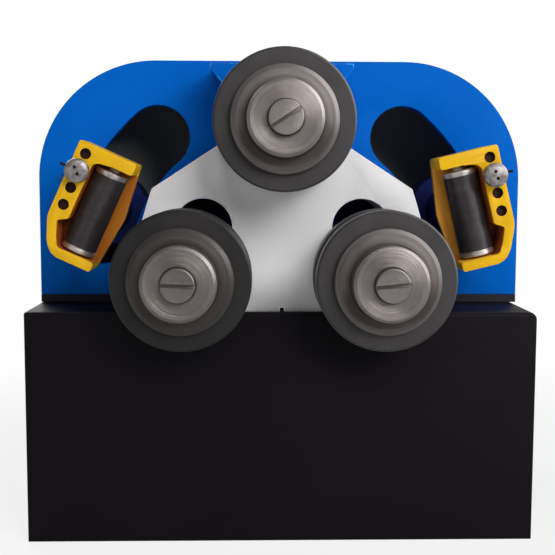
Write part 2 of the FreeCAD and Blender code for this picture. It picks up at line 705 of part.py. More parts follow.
def bushing(label, inside, y0, y1, x, z):
    inner = inside + d.run_clearance
    outer = inner + d.bush_wall
    return turned(label, [(inner, y0), (outer, y0), (outer, y1), (inner, y1)], x, z)


def makeTopRoll():
    journalBack = rearBack + d.journal_past
    makeRoll("top_roll", 0, plateBack, journalBack)
    front = bushing("front_bush", d.shoulder_radius, noseFront, plateBack, 0, topRollZ)
    rear = bushing("rear_bush", d.shaft_radius, rearFace, rearBack, 0, topRollZ)
    node("top_bushes", group("top_bush_pair", [front, rear]))
    makeMotor("top_motor", zero, topRollZ, rearBack, journalBack)


# ---- swinging arms ----

def makeArm(name, side):
    x, z = rollPlace(side)
    gx, gz = guidePlace(side)
    bush = d.bush_wall + d.run_clearance

    # the arms swing side by side: the left arm's plate lies in front and the right arm's behind
    if side < 0:
        hubFront, hubBack = armFront, armMiddle - d.hub_gap
    else:
        hubFront, hubBack = armMiddle + d.hub_gap, armBack
    lugDrop = -d.arm_travel_angle / 2
    lugStart = d.hub_radius + d.hub_clear
    lugEnd = d.ram_x + d.lug_past
    pieces = [turnedBar(name + "_beam", d.guide_reach, d.arm_width, hubFront, hubBack, zero, pivotZ, side,
                        d.guide_rest_angle),
              rodY(name + "_hub", d.hub_radius, zero, pivotZ, hubFront, hubBack),
              rodY(name + "_boss", d.boss_radius, gx, gz, armFront, armBack),
              rodY(name + "_barrel", d.barrel_radius, x, z, armFront, barrelBack),
              turnedBar(name + "_lug", lugEnd - lugStart, d.lug_half * 2, armMiddle - d.lug_thick / 2,
                        armMiddle + d.lug_thick / 2, side * lugStart * cosine(lugDrop),
                        pivotZ + lugStart * sine(lugDrop), side, lugDrop)]
    slotHalf = d.ram_pin + d.ram_slot_clearance
    pinReach = d.ram_x / cosine(lugDrop)
    slotLong = pinReach - d.ram_x + (slotHalf + d.ram_slot_clearance) * 2
    slotStart = (d.ram_x + pinReach - slotLong) / 2
    tools = [rodY(name + "_pivot_bore", d.pivot_shaft + bush, zero, pivotZ, armFront - past, armBack + past),
             rodY(name + "_barrel_bore", d.shaft_radius + bush, x, z, armFront - past, barrelBack + past),
             turnedBar(name + "_ram_slot", slotLong, slotHalf * 2, armMiddle - d.lug_thick,
                       armMiddle + d.lug_thick, side * slotStart * cosine(lugDrop),
                       pivotZ + slotStart * sine(lugDrop), side, lugDrop)]
    node(name + "_arm", cut(name + "_arm_cut", fuse(name + "_arm_weld", pieces), tools))

    bushes = [bushing("arm_front_bush", d.shaft_radius, armFront, armFront + d.bush_long, x, z),
              bushing("arm_rear_bush", d.shaft_radius, barrelBack - d.bush_long, barrelBack, x, z),
              bushing("arm_hub_bush", d.pivot_shaft, hubFront, hubBack, zero, pivotZ)]
    node(name + "_arm_bushes", group(name + "_bush_set", bushes))
    journalBack = barrelBack + d.journal_past
    makeMotor(name + "_motor", x, z, barrelBack, journalBack)
    makeRoll(name + "_roll", side, armFront - d.hub_gap, journalBack)

    # stem through the curved slot, spigot for the bracket and index plate for the lock pin
    indexFront = bracketBack + d.index_gap
    indexBack = indexFront + d.index_thick
    spigot = rodY(name + "_spigot", d.spigot_radius - d.run_clearance, gx, gz, bracketBack - d.bracket_back,
                  indexBack)
    stem = rodY(name + "_stem_bar", d.stem_radius, gx, gz, indexFront, armFront)
    lockUp = d.lock_first - d.lock_pitch
    lockReach = Size(math.hypot(lockUp.value, d.lock_hole_out.value),
                     f"sqrt({lockUp.text}^2 + {d.lock_hole_out.text}^2)")
    lockAngle = Size(math.degrees(math.atan2(lockUp.value, d.lock_hole_out.value)),
                     f"(atan({lockUp.text} / {d.lock_hole_out.text}) / 1 deg)")
    low = lockAngle + d.tilt_low_angle - d.index_margin_angle
    high = lockAngle + d.tilt_high_angle + d.index_margin_angle
    index = ringSector(name + "_index", gx, gz, d.stem_radius - d.index_sunk, d.index_radius, indexFront,
                       indexBack, low - d.index_rim_angle, high + d.index_rim_angle, side)
    track = ringSector(name + "_track", gx, gz, lockReach - d.index_slot_half, lockReach + d.index_slot_half,
                       indexFront - past, indexBack + past, low, high, side)
    stem = fuse(name + "_stem_weld", [stem, cut(name + "_index_cut", index, [track]), spigot])
    node(name + "_guide_stem", stem)


# ---- lifting rams ----

def makeRams():
    pinZ = pivotZ - d.ram_x * tangent(d.arm_travel_angle / 2)
    forkTop = pinZ - d.fork_deep
    forkLow = forkTop - d.fork_floor
    glandTop = forkLow - d.ram_fork_gap
    tubeTop = glandTop - d.gland_high
    chamberLow = d.floor_plate + d.ram_wall_end
    pistonLow = chamberLow + d.piston_rest
    y = armMiddle
    earFront = y - d.lug_thick / 2 - d.ear_gap - d.ear_thick
    earBack = y + d.lug_thick / 2 + d.ear_gap + d.ear_thick
    cylinders = []
    glands = []
    for side, name in ((-1, "left"), (1, "right")):
        x = side * d.ram_x
        tube = rodZ("ram_tube", d.ram_radius, x, y, d.floor_plate, tubeTop)
        chamber = rodZ("ram_chamber", d.ram_bore, x, y, chamberLow, tubeTop + past)
        cylinders.append(cut("ram_cut", tube, [chamber]))
        plug = fuse("gland_plug", [rodZ("gland_head", d.gland_radius, x, y, tubeTop, glandTop),
                                   rodZ("gland_spigot", d.ram_bore, x, y, tubeTop - d.gland_high, tubeTop)])
        hole = rodZ("gland_hole", d.ram_rod + d.run_clearance, x, y, tubeTop - d.gland_high - past,
                    glandTop + past)
        glands.append(cut("gland_cut", plug, [hole]))

        pieces = [rodZ("ram_piston", d.ram_bore - d.run_clearance, x, y, pistonLow,
                       pistonLow + d.piston_thick),
                  rodZ("ram_bar", d.ram_rod, x, y, pistonLow, forkTop),
                  box("fork_floor", x - d.ear_radius, x + d.ear_radius, earFront, earBack, forkLow, forkTop)]
        for y0, y1 in ((earFront, earFront + d.ear_thick), (earBack - d.ear_thick, earBack)):
            pieces.append(box("fork_ear", x - d.ear_radius, x + d.ear_radius, y0, y1, forkLow, pinZ))
            pieces.append(rodY("fork_eye", d.ear_radius, x, pinZ, y0, y1))
        pieces.append(rodY("fork_pin", d.ram_pin, x, pinZ, earFront, earBack))
        node(name + "_ram_rod", fuse(name + "_rod_weld", pieces))
    node("ram_cylinders", group("ram_pair", cylinders))
    node("ram_glands", group("gland_pair", glands))


def makePowerPack():
    low = d.floor_plate
    wall = d.tank_wall
    wide = d.tank_wide / 2
    y1 = cabinetBack - d.tank_back
    y0 = y1 - d.tank_deep
    y = (y0 + y1) / 2
    pumpTop = cabinetTop - d.sheet_steel - d.rail_side - d.pump_clear
    top = pumpTop - d.pump_high
    shell = box("tank_box", -wide, wide, y0, y1, low, top)
    hollow = box("tank_hollow", wall - wide, wide - wall, y0 + wall, y1 - wall, low + wall, top - wall)
    node("oil_tank", cut("tank_cut", shell, [hollow]))
    foot = rodZ("pump_foot", d.pump_radius, d.pump_x, y, top, top + d.pump_foot_high)
    can = rodZ("pump_can", d.pump_radius - d.pump_foot_lip, d.pump_x, y, top, pumpTop)
    node("pump_motor", fuse("pump_body", [foot, can]))
    node("valve_block", box("valve_body", d.valve_x - d.valve_wide / 2, d.valve_x + d.valve_wide / 2,
                            y - d.valve_deep / 2, y + d.valve_deep / 2, top, top + d.valve_high))


# ---- guides ----

def makeGuide(name, side):
    """Bracket with its roller, drawn upright about the guide's centre and then leaned inwards."""
    gx, gz = guidePlace(side)
    tilt = d.left_tilt_angle if side < 0 else d.right_tilt_angle
    axis = (0, 1, 0) if side < 0 else (0, -1, 0)
    front = bracketFront
    back = bracketBack

    def at(down, outward):
        """Turns a distance down the roller and one outwards into sketch coordinates."""
        return (side * outward, -asSize(down))

    def lean(thing):
        putAt(thing, gx, 0, gz, axis, tilt)
        return thing

    top, bottom, out, inner = -d.bracket_top, d.bracket_bottom, d.bracket_out, -d.bracket_in
    windowTop, windowBottom, edge = -d.window_top, d.window_bottom, d.window_out
    window = [at(windowTop, inner), at(windowTop, 0), at(-d.arm_root, edge), at(d.neck_begin, edge),
              at(d.neck_top, d.lock_hole_out), at(d.neck_middle, d.neck_middle_in),
              at(windowBottom - d.window_corner, edge), at(windowBottom, edge - d.window_corner),
              at(windowBottom, inner)]
    neck = [at(bottom, d.foot_out), at(d.neck_end, d.neck_end_out), at(d.neck_middle, d.neck_middle_out)]
    rim = [at(bottom, inner)] + neck + [at(d.neck_top, out), at(top, out), at(top, inner)]
    frame = standing(name + "_frame", window + rim, front, back)
    holes = [at(-d.lock_first + d.lock_pitch * step, d.lock_hole_out) + (d.lock_hole,)
             for step in range(int(d.lock_count.value))]
    pocket(frame, name + "_lock_holes", None, front, back, holes)
    webOut = out - d.web_inset
    webEdge = [at(top, webOut), at(top, inner), at(-d.bulge_up, -d.bulge_in), at(bottom, inner)]
    web = standing(name + "_web", webEdge + neck + [at(d.neck_top, webOut)], back - d.bracket_back, back,
                   [(0, 0, d.spigot_radius)] + holes)
    axleY = front + d.guide_axis_back
    bore = rodZ(name + "_axle_bore", d.guide_axle, 0, axleY, -d.bracket_bottom - past, d.bracket_top + past)
    node(name + "_guide_bracket",
         lean(cut(name + "_bracket_cut", fuse(name + "_bracket_weld", [frame, web]), [bore])))

    axle = rodZ(name + "_axle_bar", d.guide_axle, 0, axleY, -d.bracket_bottom, d.bracket_top)
    node(name + "_guide_axle", lean(group(name + "_axle", [axle])))

    # roller with a bright lip and a groove at each end
    inside = d.guide_axle + d.run_clearance
    radius = d.guide_roller_radius
    waist = radius - d.lip_groove
    half = d.guide_roller_half
    bevel = d.end_chamfer
    lip = half - d.collar_lip
    land = lip - d.lip_groove * 2
    upper = [(inside, half), (radius - bevel, half), (radius, half - bevel), (radius, lip), (waist, lip),
             (waist, land), (radius, land)]
    lower = [(r, -z) for r, z in reversed(upper)]
    barrel = doc.addObject("PartDesign::Body", name + "_roller_body")
    sketch = sketchOn(barrel, "XZ_Plane", name + "_roller_profile")
    outline(sketch, upper + lower)
    turn = barrel.newObject("PartDesign::Revolution", name + "_roller_turn")
    turn.Profile = sketch
    turn.ReferenceAxis = (sketch, ["V_Axis"])
    turn.Angle = 2 * halfTurn
    putAt(barrel, 0, axleY, 0)
    node(name + "_guide_roller", lean(group(name + "_roller_place", [barrel])))

    # lock pin in the second hole: domed head, plain shank and a thin cross pin
    x, z, _ = holes[1]
    headBack = front - d.pin_stand_off
    headFront = headBack - d.pin_head_high
    tail = back + d.index_gap + d.index_thick + d.pin_tail
    neckRadius = d.pin_radius + d.pin_collar
    profile = [(0, headFront), (d.pin_head - d.pin_dome, headFront), (d.pin_head, headFront + d.pin_dome),
               (d.pin_head, headBack), (neckRadius, headBack), (neckRadius, front), (d.pin_radius, front),
               (d.pin_radius, tail), (0, tail)]
    pin = turned(name + "_pin_bar", profile, x, z)
    cotter = doc.addObject("Part::Cylinder", name + "_cotter")
    bind(cotter, "Radius", d.cotter_radius)
    bind(cotter, "Height", d.cotter_long)
    cotter.Placement = FreeCAD.Placement(V(), FreeCAD.Rotation(V(0, 1, 0), halfTurn / 2 * side))
    bind(cotter, "Placement.Base.x", x)
    bind(cotter, "Placement.Base.y", headBack - d.cotter_radius * 2)
    bind(cotter, "Placement.Base.z", z)
    node(name + "_guide_pin", lean(fuse(name + "_pin_weld", [pin, cotter])))


makeCabinet()
makeHousing()
makeNose()
makeTopRoll()
makeArm("left", -1)
makeArm("right", 1)
makeRams()
makePowerPack()
makeGuide("left", -1)
makeGuide("right", 1)
doc.recompute()

for thing in doc.Objects:
    if "Invalid" in thing.State or "Error" in thing.State:
        raise RuntimeError(f"{thing.Label} did not build: {thing.State}")
for name, thing in nodes.items():
    if thing.Shape.isNull() or not thing.Shape.isValid() or not thing.Shape.Solids:
        raise RuntimeError(f"{name} has no sound solid")

os.makedirs("parts", exist_ok=True)
for name, thing in nodes.items():
    thing.Shape.exportStep(f"parts/{name}.step")
    print(name, len(thing.Shape.Solids), round(thing.Shape.Volume))
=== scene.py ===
import json
import math

import bmesh
import bpy
from mathutils import Matrix, Vector


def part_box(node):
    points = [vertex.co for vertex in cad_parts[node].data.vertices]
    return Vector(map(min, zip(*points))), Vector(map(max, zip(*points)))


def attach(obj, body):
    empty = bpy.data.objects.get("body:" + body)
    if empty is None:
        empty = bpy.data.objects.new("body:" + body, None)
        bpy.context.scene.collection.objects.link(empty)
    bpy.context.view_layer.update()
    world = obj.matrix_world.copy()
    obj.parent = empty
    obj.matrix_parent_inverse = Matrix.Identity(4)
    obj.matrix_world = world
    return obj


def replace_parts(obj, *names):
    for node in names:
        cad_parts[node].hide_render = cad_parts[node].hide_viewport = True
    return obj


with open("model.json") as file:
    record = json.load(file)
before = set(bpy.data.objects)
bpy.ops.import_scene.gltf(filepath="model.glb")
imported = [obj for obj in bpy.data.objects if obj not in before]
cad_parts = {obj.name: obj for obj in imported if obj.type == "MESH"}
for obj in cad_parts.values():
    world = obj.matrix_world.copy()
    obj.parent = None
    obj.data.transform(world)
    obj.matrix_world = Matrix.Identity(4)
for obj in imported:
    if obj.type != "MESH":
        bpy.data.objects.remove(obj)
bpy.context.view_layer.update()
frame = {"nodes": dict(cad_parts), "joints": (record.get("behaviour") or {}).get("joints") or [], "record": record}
scene = bpy.context.scene
back = Vector((0, 1, 0))
bodyOf = {node: body for body, members in frame["record"]["behaviour"]["bodies"].items() for node in members}
joints = {joint["name"]: joint for joint in frame["joints"]}
sides = {"left": -1, "right": 1}
rolls = ("top_roll", "left_roll", "right_roll")
mergeGap = 1e-6                   # corners this near become one
print("frame loaded:", len(frame["nodes"]), "nodes")


# places read from the frame
def middle(node):
    low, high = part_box(node)
    return (low + high) / 2


def axisOf(jointName):
    joint = joints[jointName]
    return Vector(joint["pos_m"]), Vector(joint["axis"]).normalized()


def rollPlace(roll):              # own Y runs along the roll's axis
    centre = middle(roll + "_nut")
    return Matrix.Translation((centre.x, 0, centre.z))


def guidePlace(side):             # own Z runs up the guide roller, own X across it
    centre, direction = axisOf(side + "_guide_roller_spin")
    if direction.z < 0:
        direction = -direction
    return Matrix.Translation(centre) @ Matrix.Rotation(math.atan2(direction.x, direction.z), 4, "Y")


def mergedCopy(node):
    shape = bmesh.new()
    shape.from_mesh(frame["nodes"][node].data)
    bmesh.ops.remove_doubles(shape, verts=shape.verts, dist=mergeGap)
    return shape


def solidBoxes(node):             # box of each separate solid in a node
    shape = mergedCopy(node)
    left = set(shape.verts)
    found = []
    while left:
        group = [left.pop()]
        for vert in group:
            for edge in vert.link_edges:
                other = edge.other_vert(vert)
                if other in left:
                    left.remove(other)
                    group.append(other)
        found.append([Vector(pick(vert.co[axis] for vert in group) for axis in range(3))
                      for pick in (min, max)])
    shape.free()
    return sorted(found, key=lambda corners: tuple(corners[0]))


# shader maths
class Wire:                       # a node's output, so that sums on it add Math nodes
    def __init__(self, nodes, socket):
        self.nodes = nodes
        self.socket = socket

    def combine(self, operation, first, second):
        return self.nodes.node("Math", {"operation": operation}, {0: first, 1: second})

    def __add__(self, other):
        return self.combine("ADD", self, other)

    def __radd__(self, other):
        return self.combine("ADD", other, self)

    def __sub__(self, other):
        return self.combine("SUBTRACT", self, other)

    def __rsub__(self, other):
        return self.combine("SUBTRACT", other, self)

    def __mul__(self, other):
        return self.combine("MULTIPLY", self, other)

    def __rmul__(self, other):
        return self.combine("MULTIPLY", other, self)

    def __pow__(self, other):
        return self.combine("POWER", self, other)

    def __rpow__(self, other):
        return self.combine("POWER", other, self)


class Nodes:                      # short ways to build in one node tree
    def __init__(self, tree):
        self.tree = tree

    def node(self, kind, settings=None, sockets=None, result=0):
        made = self.tree.nodes.new("ShaderNode" + kind)
        for key, value in (settings or {}).items():
            setattr(made, key, value)
        for key, value in (sockets or {}).items():
            if isinstance(value, Wire):
                self.tree.links.new(value.socket, made.inputs[key])
            else:
                made.inputs[key].default_value = value
        return Wire(self, made.outputs[result])

    def spot(self, place=None, stretch=(1, 1, 1)):
        where = self.node("TexCoord", result="Object")
        place = place or Matrix.Identity(4)
        return self.node("Mapping", {"vector_type": "TEXTURE"},
                         {"Vector": where, "Location": place.translation, "Rotation": place.to_euler(),
                          "Scale": stretch})

    def noise(self, spot, scale, detail=2.0, roughness=0.5):
        return self.node("TexNoise", {}, {"Vector": spot, "Scale": scale, "Detail": detail,
                                          "Roughness": roughness})

    def split(self, spot):
        made = self.node("SeparateXYZ", {}, {"Vector": spot}).socket.node
        return [Wire(self, socket) for socket in made.outputs]

    def join(self, x, y, z):
        return self.node("CombineXYZ", {}, {"X": x, "Y": y, "Z": z})

    def rise(self, value, low, high):             # 0 below low, 1 above high
        return self.node("MapRange", {"interpolation_type": "SMOOTHSTEP"},
                         {"Value": value, "From Min": low, "From Max": high})

    def within(self, spot, zone):                 # 1 inside a box with soft sides
        share = 1.0
        for value, low, high in zip(self.split(spot), zone["low"], zone["high"]):
            share = self.rise(value, low - zone["soft"], low + zone["soft"]) * share
            share = (1 - self.rise(value, high - zone["soft"], high + zone["soft"])) * share
        return self.arch(spot, zone) * share if "corner" in zone else share

    def arch(self, spot, zone):                   # 0 past a box's round upper corners
        x, y, z = self.split(spot)
        across = self.node("Math", {"operation": "ABSOLUTE"}, {0: x}) - (zone["high"][0] - zone["corner"])
        up = z - (zone["high"][2] - zone["corner"])
        across, up = (self.node("Math", {"operation": "MAXIMUM"}, {0: value, 1: 0.0})
                      for value in (across, up))
        reach = (across * across + up * up) ** 0.5
        return 1 - self.rise(reach, zone["corner"] - zone["soft"], zone["corner"] + zone["soft"])

    def blend(self, share, first, second):        # colours
        return self.node("Mix", {"data_type": "RGBA"}, {0: share, 6: first, 7: second}, 2)


class Finish(Nodes):              # a material with one Principled shader
    def __init__(self, name, fixed):
        self.material = bpy.data.materials.new(name)
        self.material.use_nodes = True
        super().__init__(self.material.node_tree)
        self.shader = self.tree.nodes["Principled BSDF"]
        for socket, value in fixed.items():
            self.shader.inputs[socket].default_value = value

    def feed(self, socket, value):
        self.tree.links.new(value.socket, self.shader.inputs[socket])

    def bump(self, height, distance):
        self.feed("Normal", self.node("Bump", {}, {"Height": height, "Distance": distance}))


def rgb(red, green, blue):
    return (red, green, blue, 1)


# each kind of finish has a mix: scales and details of its noises, and their shares of roughness and relief
paintMix = {"cloudDetail": 3, "cloudFrom": 0.3, "cloudTo": 0.7, "grain": 160, "scuff": 55, "scuffDetail": 6,
            "scuffFine": 0.7, "scuffLong": 0.16, "scuffFrom": 0.62, "scuffTo": 0.74, "boreSoft": 0.0004,
            "cloudRough": 0.1, "grainRough": 0.06, "scuffRough": 0.2, "meanRough": 0.08, "peelDetail": 1,
            "grainRelief": 0.4}


def paint(name, look, place=None, zones=(), bores=()):
    mix = paintMix
    finish = Finish(name, {"Specular IOR Level": look["specular"]})
    spot = finish.spot(place)
    cloud = finish.noise(spot, look["cloud"], mix["cloudDetail"])
    grain = finish.noise(spot, mix["grain"])
    scuff = finish.noise(finish.spot(stretch=(1, 1, mix["scuffLong"])), mix["scuff"], mix["scuffDetail"],
                         mix["scuffFine"])
    marks = finish.rise(scuff, mix["scuffFrom"], mix["scuffTo"]) * look["scuffs"]
    colour = finish.blend(finish.rise(cloud, mix["cloudFrom"], mix["cloudTo"]), look["deep"], look["colour"])
    colour = finish.blend(marks, colour, look["rubbed"])
    for zone in zones:                            # zones painted another colour: primer, the index plates' blue and painted shade
        colour = finish.blend(finish.within(spot, zone), colour, zone["colour"])
    x, y, z = finish.split(spot)
    for bore in bores:                            # drilled walls, bare and oily, with painted shade deep in them
        reach = ((x - bore["x"]) ** 2 + (z - bore["z"]) ** 2) ** 0.5
        wall = 1 - finish.rise(reach, bore["radius"], bore["radius"] + mix["boreSoft"])
        colour = finish.blend(wall, colour, bore["colour"])
    finish.feed("Base Color", colour)
    finish.feed("Roughness", cloud * mix["cloudRough"] + grain * mix["grainRough"] + marks * mix["scuffRough"]
                + (look["roughness"] - mix["meanRough"]))
    peel = finish.noise(spot, look["peel"], mix["peelDetail"])
    finish.bump(peel + grain * mix["grainRelief"], look["peelDeep"])
    return finish.material


wearMix = {"specular": 0.08, "chipDetail": 5, "chipFine": 0.65, "chipSoft": 0.05, "bareMetal": 0.7,
           "roughness": 0.42, "bareRough": 0.1, "chipDeep": 0.00012}


def wornPaint(name, look):        # the same paint on an edge, rubbed thin and chipped in places
    mix = wearMix
    finish = Finish(name, {"Specular IOR Level": mix["specular"]})
    cloud = finish.noise(finish.spot(), look["chip"], mix["chipDetail"], mix["chipFine"])
    chip = finish.rise(cloud, look["chipFrom"], look["chipFrom"] + mix["chipSoft"])
    finish.feed("Base Color", finish.blend(chip, look["thin"], look["bare"]))
    finish.feed("Metallic", chip * mix["bareMetal"])
    finish.feed("Roughness", mix["roughness"] + chip * mix["bareRough"])
    finish.bump(1 - chip, mix["chipDeep"])
    return finish.material


latheMix = {"specular": 0.3, "fineDetail": 1, "ringDetail": 3, "ringFine": 0.7, "smearDetail": 5,
            "smearFine": 0.6, "stainDetail": 6, "stainFine": 0.65, "stainFrom": 0.5, "stainTo": 0.72,
            "toneFrom": 0.36, "toneTo": 0.64, "rimSoft": 0.001, "smearRough": 0.16, "ringRough": 0.08,
            "stainRough": 0.12, "meanRough": 0.12, "ringRelief": 0.6}
shadowMix = {"ragged": 0.02, "above": 0.02, "under": 0.016, "rimRagged": 0.003, "within": 0.002,
           "beyond": 0.004}


def turnedSteel(name, place, look, zones=()):     # lathe rings about the piece's own axis
    mix = latheMix
    finish = Finish(name, {"Metallic": look["metal"], "Specular IOR Level": mix["specular"]})
    spot = finish.spot(place)
    x, y, z = finish.split(spot)
    if look["axis"] == "Y":
        radius = (x * x + z * z) ** 0.5
        lathe = finish.join(radius, y, 0.0)
    else:
        radius = (x * x + y * y) ** 0.5
        lathe = finish.join(radius, z, 0.0)
    fine = finish.noise(lathe, look["fine"], mix["fineDetail"])
    rings = finish.noise(lathe, look["rings"], mix["ringDetail"], mix["ringFine"])
    smear = finish.noise(spot, look["smear"], mix["smearDetail"], mix["smearFine"])
    blots = finish.noise(spot, look["stain"], mix["stainDetail"], mix["stainFine"])
    stain = finish.rise(blots, mix["stainFrom"], mix["stainTo"]) * look["stained"]
    tone = finish.rise(rings * 0.5 + smear * 0.5, mix["toneFrom"], mix["toneTo"])
    colour = finish.blend(tone, look["dark"], look["light"])
    colour = finish.blend(stain, colour, look["oilAndShade"])
    rim = finish.rise(radius, look["rimFrom"], look["rimFrom"] + mix["rimSoft"])
    colour = finish.blend(rim * look["rimShare"], colour, look["rim"])
    if "seatTo" in look:                          # a darker ring where the next piece seats: oil and painted contact shade
        seat = 1 - finish.rise(radius, look["seatFrom"], look["seatTo"])
        colour = finish.blend(seat * look["seatShare"], colour, look["oilAndShade"])
    if "shadowTo" in look:                          # painted shadow of the piece in front, on the lower side near it
        shadow = shadowMix
        below = 1 - finish.rise(z + smear * shadow["ragged"], look["shadowTop"] - shadow["above"],
                                look["shadowTop"] + shadow["under"])
        near = 1 - finish.rise(radius + smear * shadow["rimRagged"], look["shadowTo"] - shadow["within"],
                               look["shadowTo"] + shadow["beyond"])
        colour = finish.blend(below * near * look["shadowShare"], colour, look["oilAndShade"])
    for zone in zones:
        colour = finish.blend(finish.within(spot, zone), colour, zone["colour"])
    finish.feed("Base Color", colour)
    finish.feed("Roughness", smear * mix["smearRough"] + rings * mix["ringRough"] + stain * mix["stainRough"]
                + (look["roughness"] - mix["meanRough"]))
    finish.bump(fine + rings * mix["ringRelief"], look["ringDeep"])
    return finish.material


stockMix = {"specular": 0.4, "grainDetail": 3, "blotDetail": 5, "fine": 0.6, "blotFrom": 0.35, "blotTo": 0.65,
            "grainRough": 0.1, "blotRough": 0.18, "meanRough": 0.14}


def plainSteel(name, look):       # ground, plated or drawn stock
    mix = stockMix
    finish = Finish(name, {"Metallic": look["metal"], "Specular IOR Level": mix["specular"]})
    along = finish.spot(stretch=look.get("stretch", (1, 1, 1)))
    drawn = finish.noise(along, look["grain"], mix["grainDetail"], mix["fine"])
    blot = finish.noise(finish.spot(), look["blot"], mix["blotDetail"], mix["fine"])
    tone = finish.rise(blot, mix["blotFrom"], mix["blotTo"])
    finish.feed("Base Color", finish.blend(tone, look["dark"], look["light"]))
    finish.feed("Roughness", drawn * mix["grainRough"] + blot * mix["blotRough"]
                + (look["roughness"] - mix["meanRough"]))
    finish.bump(drawn, look["grainDeep"])
    return finish.material


castMix = {"skinDetail": 3, "dustAndShade": 24, "dustDetail": 5, "fine": 0.6, "dustFrom": 0.5, "dustTo": 0.7,
           "dustShare": 0.5, "skinRough": 0.15, "dustRough": 0.2}


def castMetal(name, look):        # sand-cast or blasted skin under thin paint
    mix = castMix
    finish = Finish(name, {"Specular IOR Level": look["specular"]})
    spot = finish.spot()
    skin = finish.noise(spot, look["skin"], mix["skinDetail"], mix["fine"])
    dustAndShade = finish.rise(finish.noise(spot, mix["dustAndShade"], mix["dustDetail"], mix["fine"]), mix["dustFrom"],
                       mix["dustTo"])
    finish.feed("Base Color", finish.blend(dustAndShade * mix["dustShare"], look["colour"], look["dustAndShade"]))
    finish.feed("Roughness", skin * mix["skinRough"] + dustAndShade * mix["dustRough"] + look["roughness"])
    finish.bump(skin, look["skinDeep"])
    return finish.material


paints = {
    "blue_paint": {"colour": rgb(0.0006, 0.132, 0.585), "deep": rgb(0.0006, 0.112, 0.515),
                   "rubbed": rgb(0.006, 0.145, 0.60), "specular": 0.02, "roughness": 0.5, "cloud": 5,
                   "peel": 420, "peelDeep": 0.00005, "scuffs": 0.12},
    # a darker blue for the arms and guide stems: painted shade for where they stand inside the casing and behind
    # the brackets
    "shaded_arm_blue": {"colour": rgb(0.009, 0.017, 0.105), "deep": rgb(0.007, 0.012, 0.075),
                 "rubbed": rgb(0.014, 0.022, 0.10), "specular": 0.08, "roughness": 0.5, "cloud": 9,
                 "peel": 380, "peelDeep": 0.00006, "scuffs": 0.3},
    "black_gloss": {"colour": rgb(0.0078, 0.0062, 0.0080), "deep": rgb(0.0060, 0.0050, 0.0064),
                    "rubbed": rgb(0.02, 0.02, 0.022), "specular": 0.04, "roughness": 0.4, "cloud": 4,
                    "peel": 380, "peelDeep": 0.00004, "scuffs": 0.06},
    "plinth_black": {"colour": rgb(0.026, 0.024, 0.028), "deep": rgb(0.020, 0.018, 0.022),
                     "rubbed": rgb(0.04, 0.04, 0.042), "specular": 0.04, "roughness": 0.5, "cloud": 6,
                     "peel": 380, "peelDeep": 0.00004, "scuffs": 0.2},
    "nose_grey": {"colour": rgb(0.76, 0.75, 0.76), "deep": rgb(0.70, 0.69, 0.70),
                  "rubbed": rgb(0.5, 0.5, 0.51), "specular": 0.15, "roughness": 0.5, "cloud": 7,
                  "peel": 420, "peelDeep": 0.00004, "scuffs": 0.1},
    "frame_grey": {"colour": rgb(0.13, 0.13, 0.135), "deep": rgb(0.10, 0.10, 0.105),
                   "rubbed": rgb(0.2, 0.2, 0.2), "specular": 0.3, "roughness": 0.5, "cloud": 9,
                   "peel": 300, "peelDeep": 0.00008, "scuffs": 0.25},
    "yellow_paint": {"colour": rgb(0.77, 0.445, 0.008), "deep": rgb(0.69, 0.385, 0.008),
                     "rubbed": rgb(0.74, 0.43, 0.02), "specular": 0.12, "roughness": 0.45, "cloud": 30,
                     "peel": 260, "peelDeep": 0.0001, "scuffs": 0.03},
}
wear = {       # edges: paint rubbed thin, what shows in the chips, their scale and where they begin
    "blue_paint": {"thin": rgb(0.004, 0.15, 0.62), "bare": rgb(0.20, 0.26, 0.36),
                   "chip": 90, "chipFrom": 0.66},
    # the cast housing's edges: a lighter blue, with lighter chips still, partly chipped paint and partly a painted
    # highlight on its bevels
    "cast_blue": {"thin": rgb(0.001, 0.150, 0.63), "bare": rgb(0.06, 0.38, 0.84),
                  "chip": 75, "chipFrom": 0.53},
    "shaded_arm_blue": {"thin": rgb(0.01, 0.016, 0.05), "bare": rgb(0.08, 0.08, 0.09),
                 "chip": 90, "chipFrom": 0.6},
    "black_gloss": {"thin": rgb(0.014, 0.014, 0.016), "bare": rgb(0.1, 0.1, 0.1),
                    "chip": 80, "chipFrom": 0.7},
    "nose_grey": {"thin": rgb(0.80, 0.80, 0.82), "bare": rgb(0.42, 0.42, 0.43),
                  "chip": 90, "chipFrom": 0.66},
    "frame_grey": {"thin": rgb(0.2, 0.2, 0.2), "bare": rgb(0.34, 0.33, 0.32),
                   "chip": 70, "chipFrom": 0.55},
}
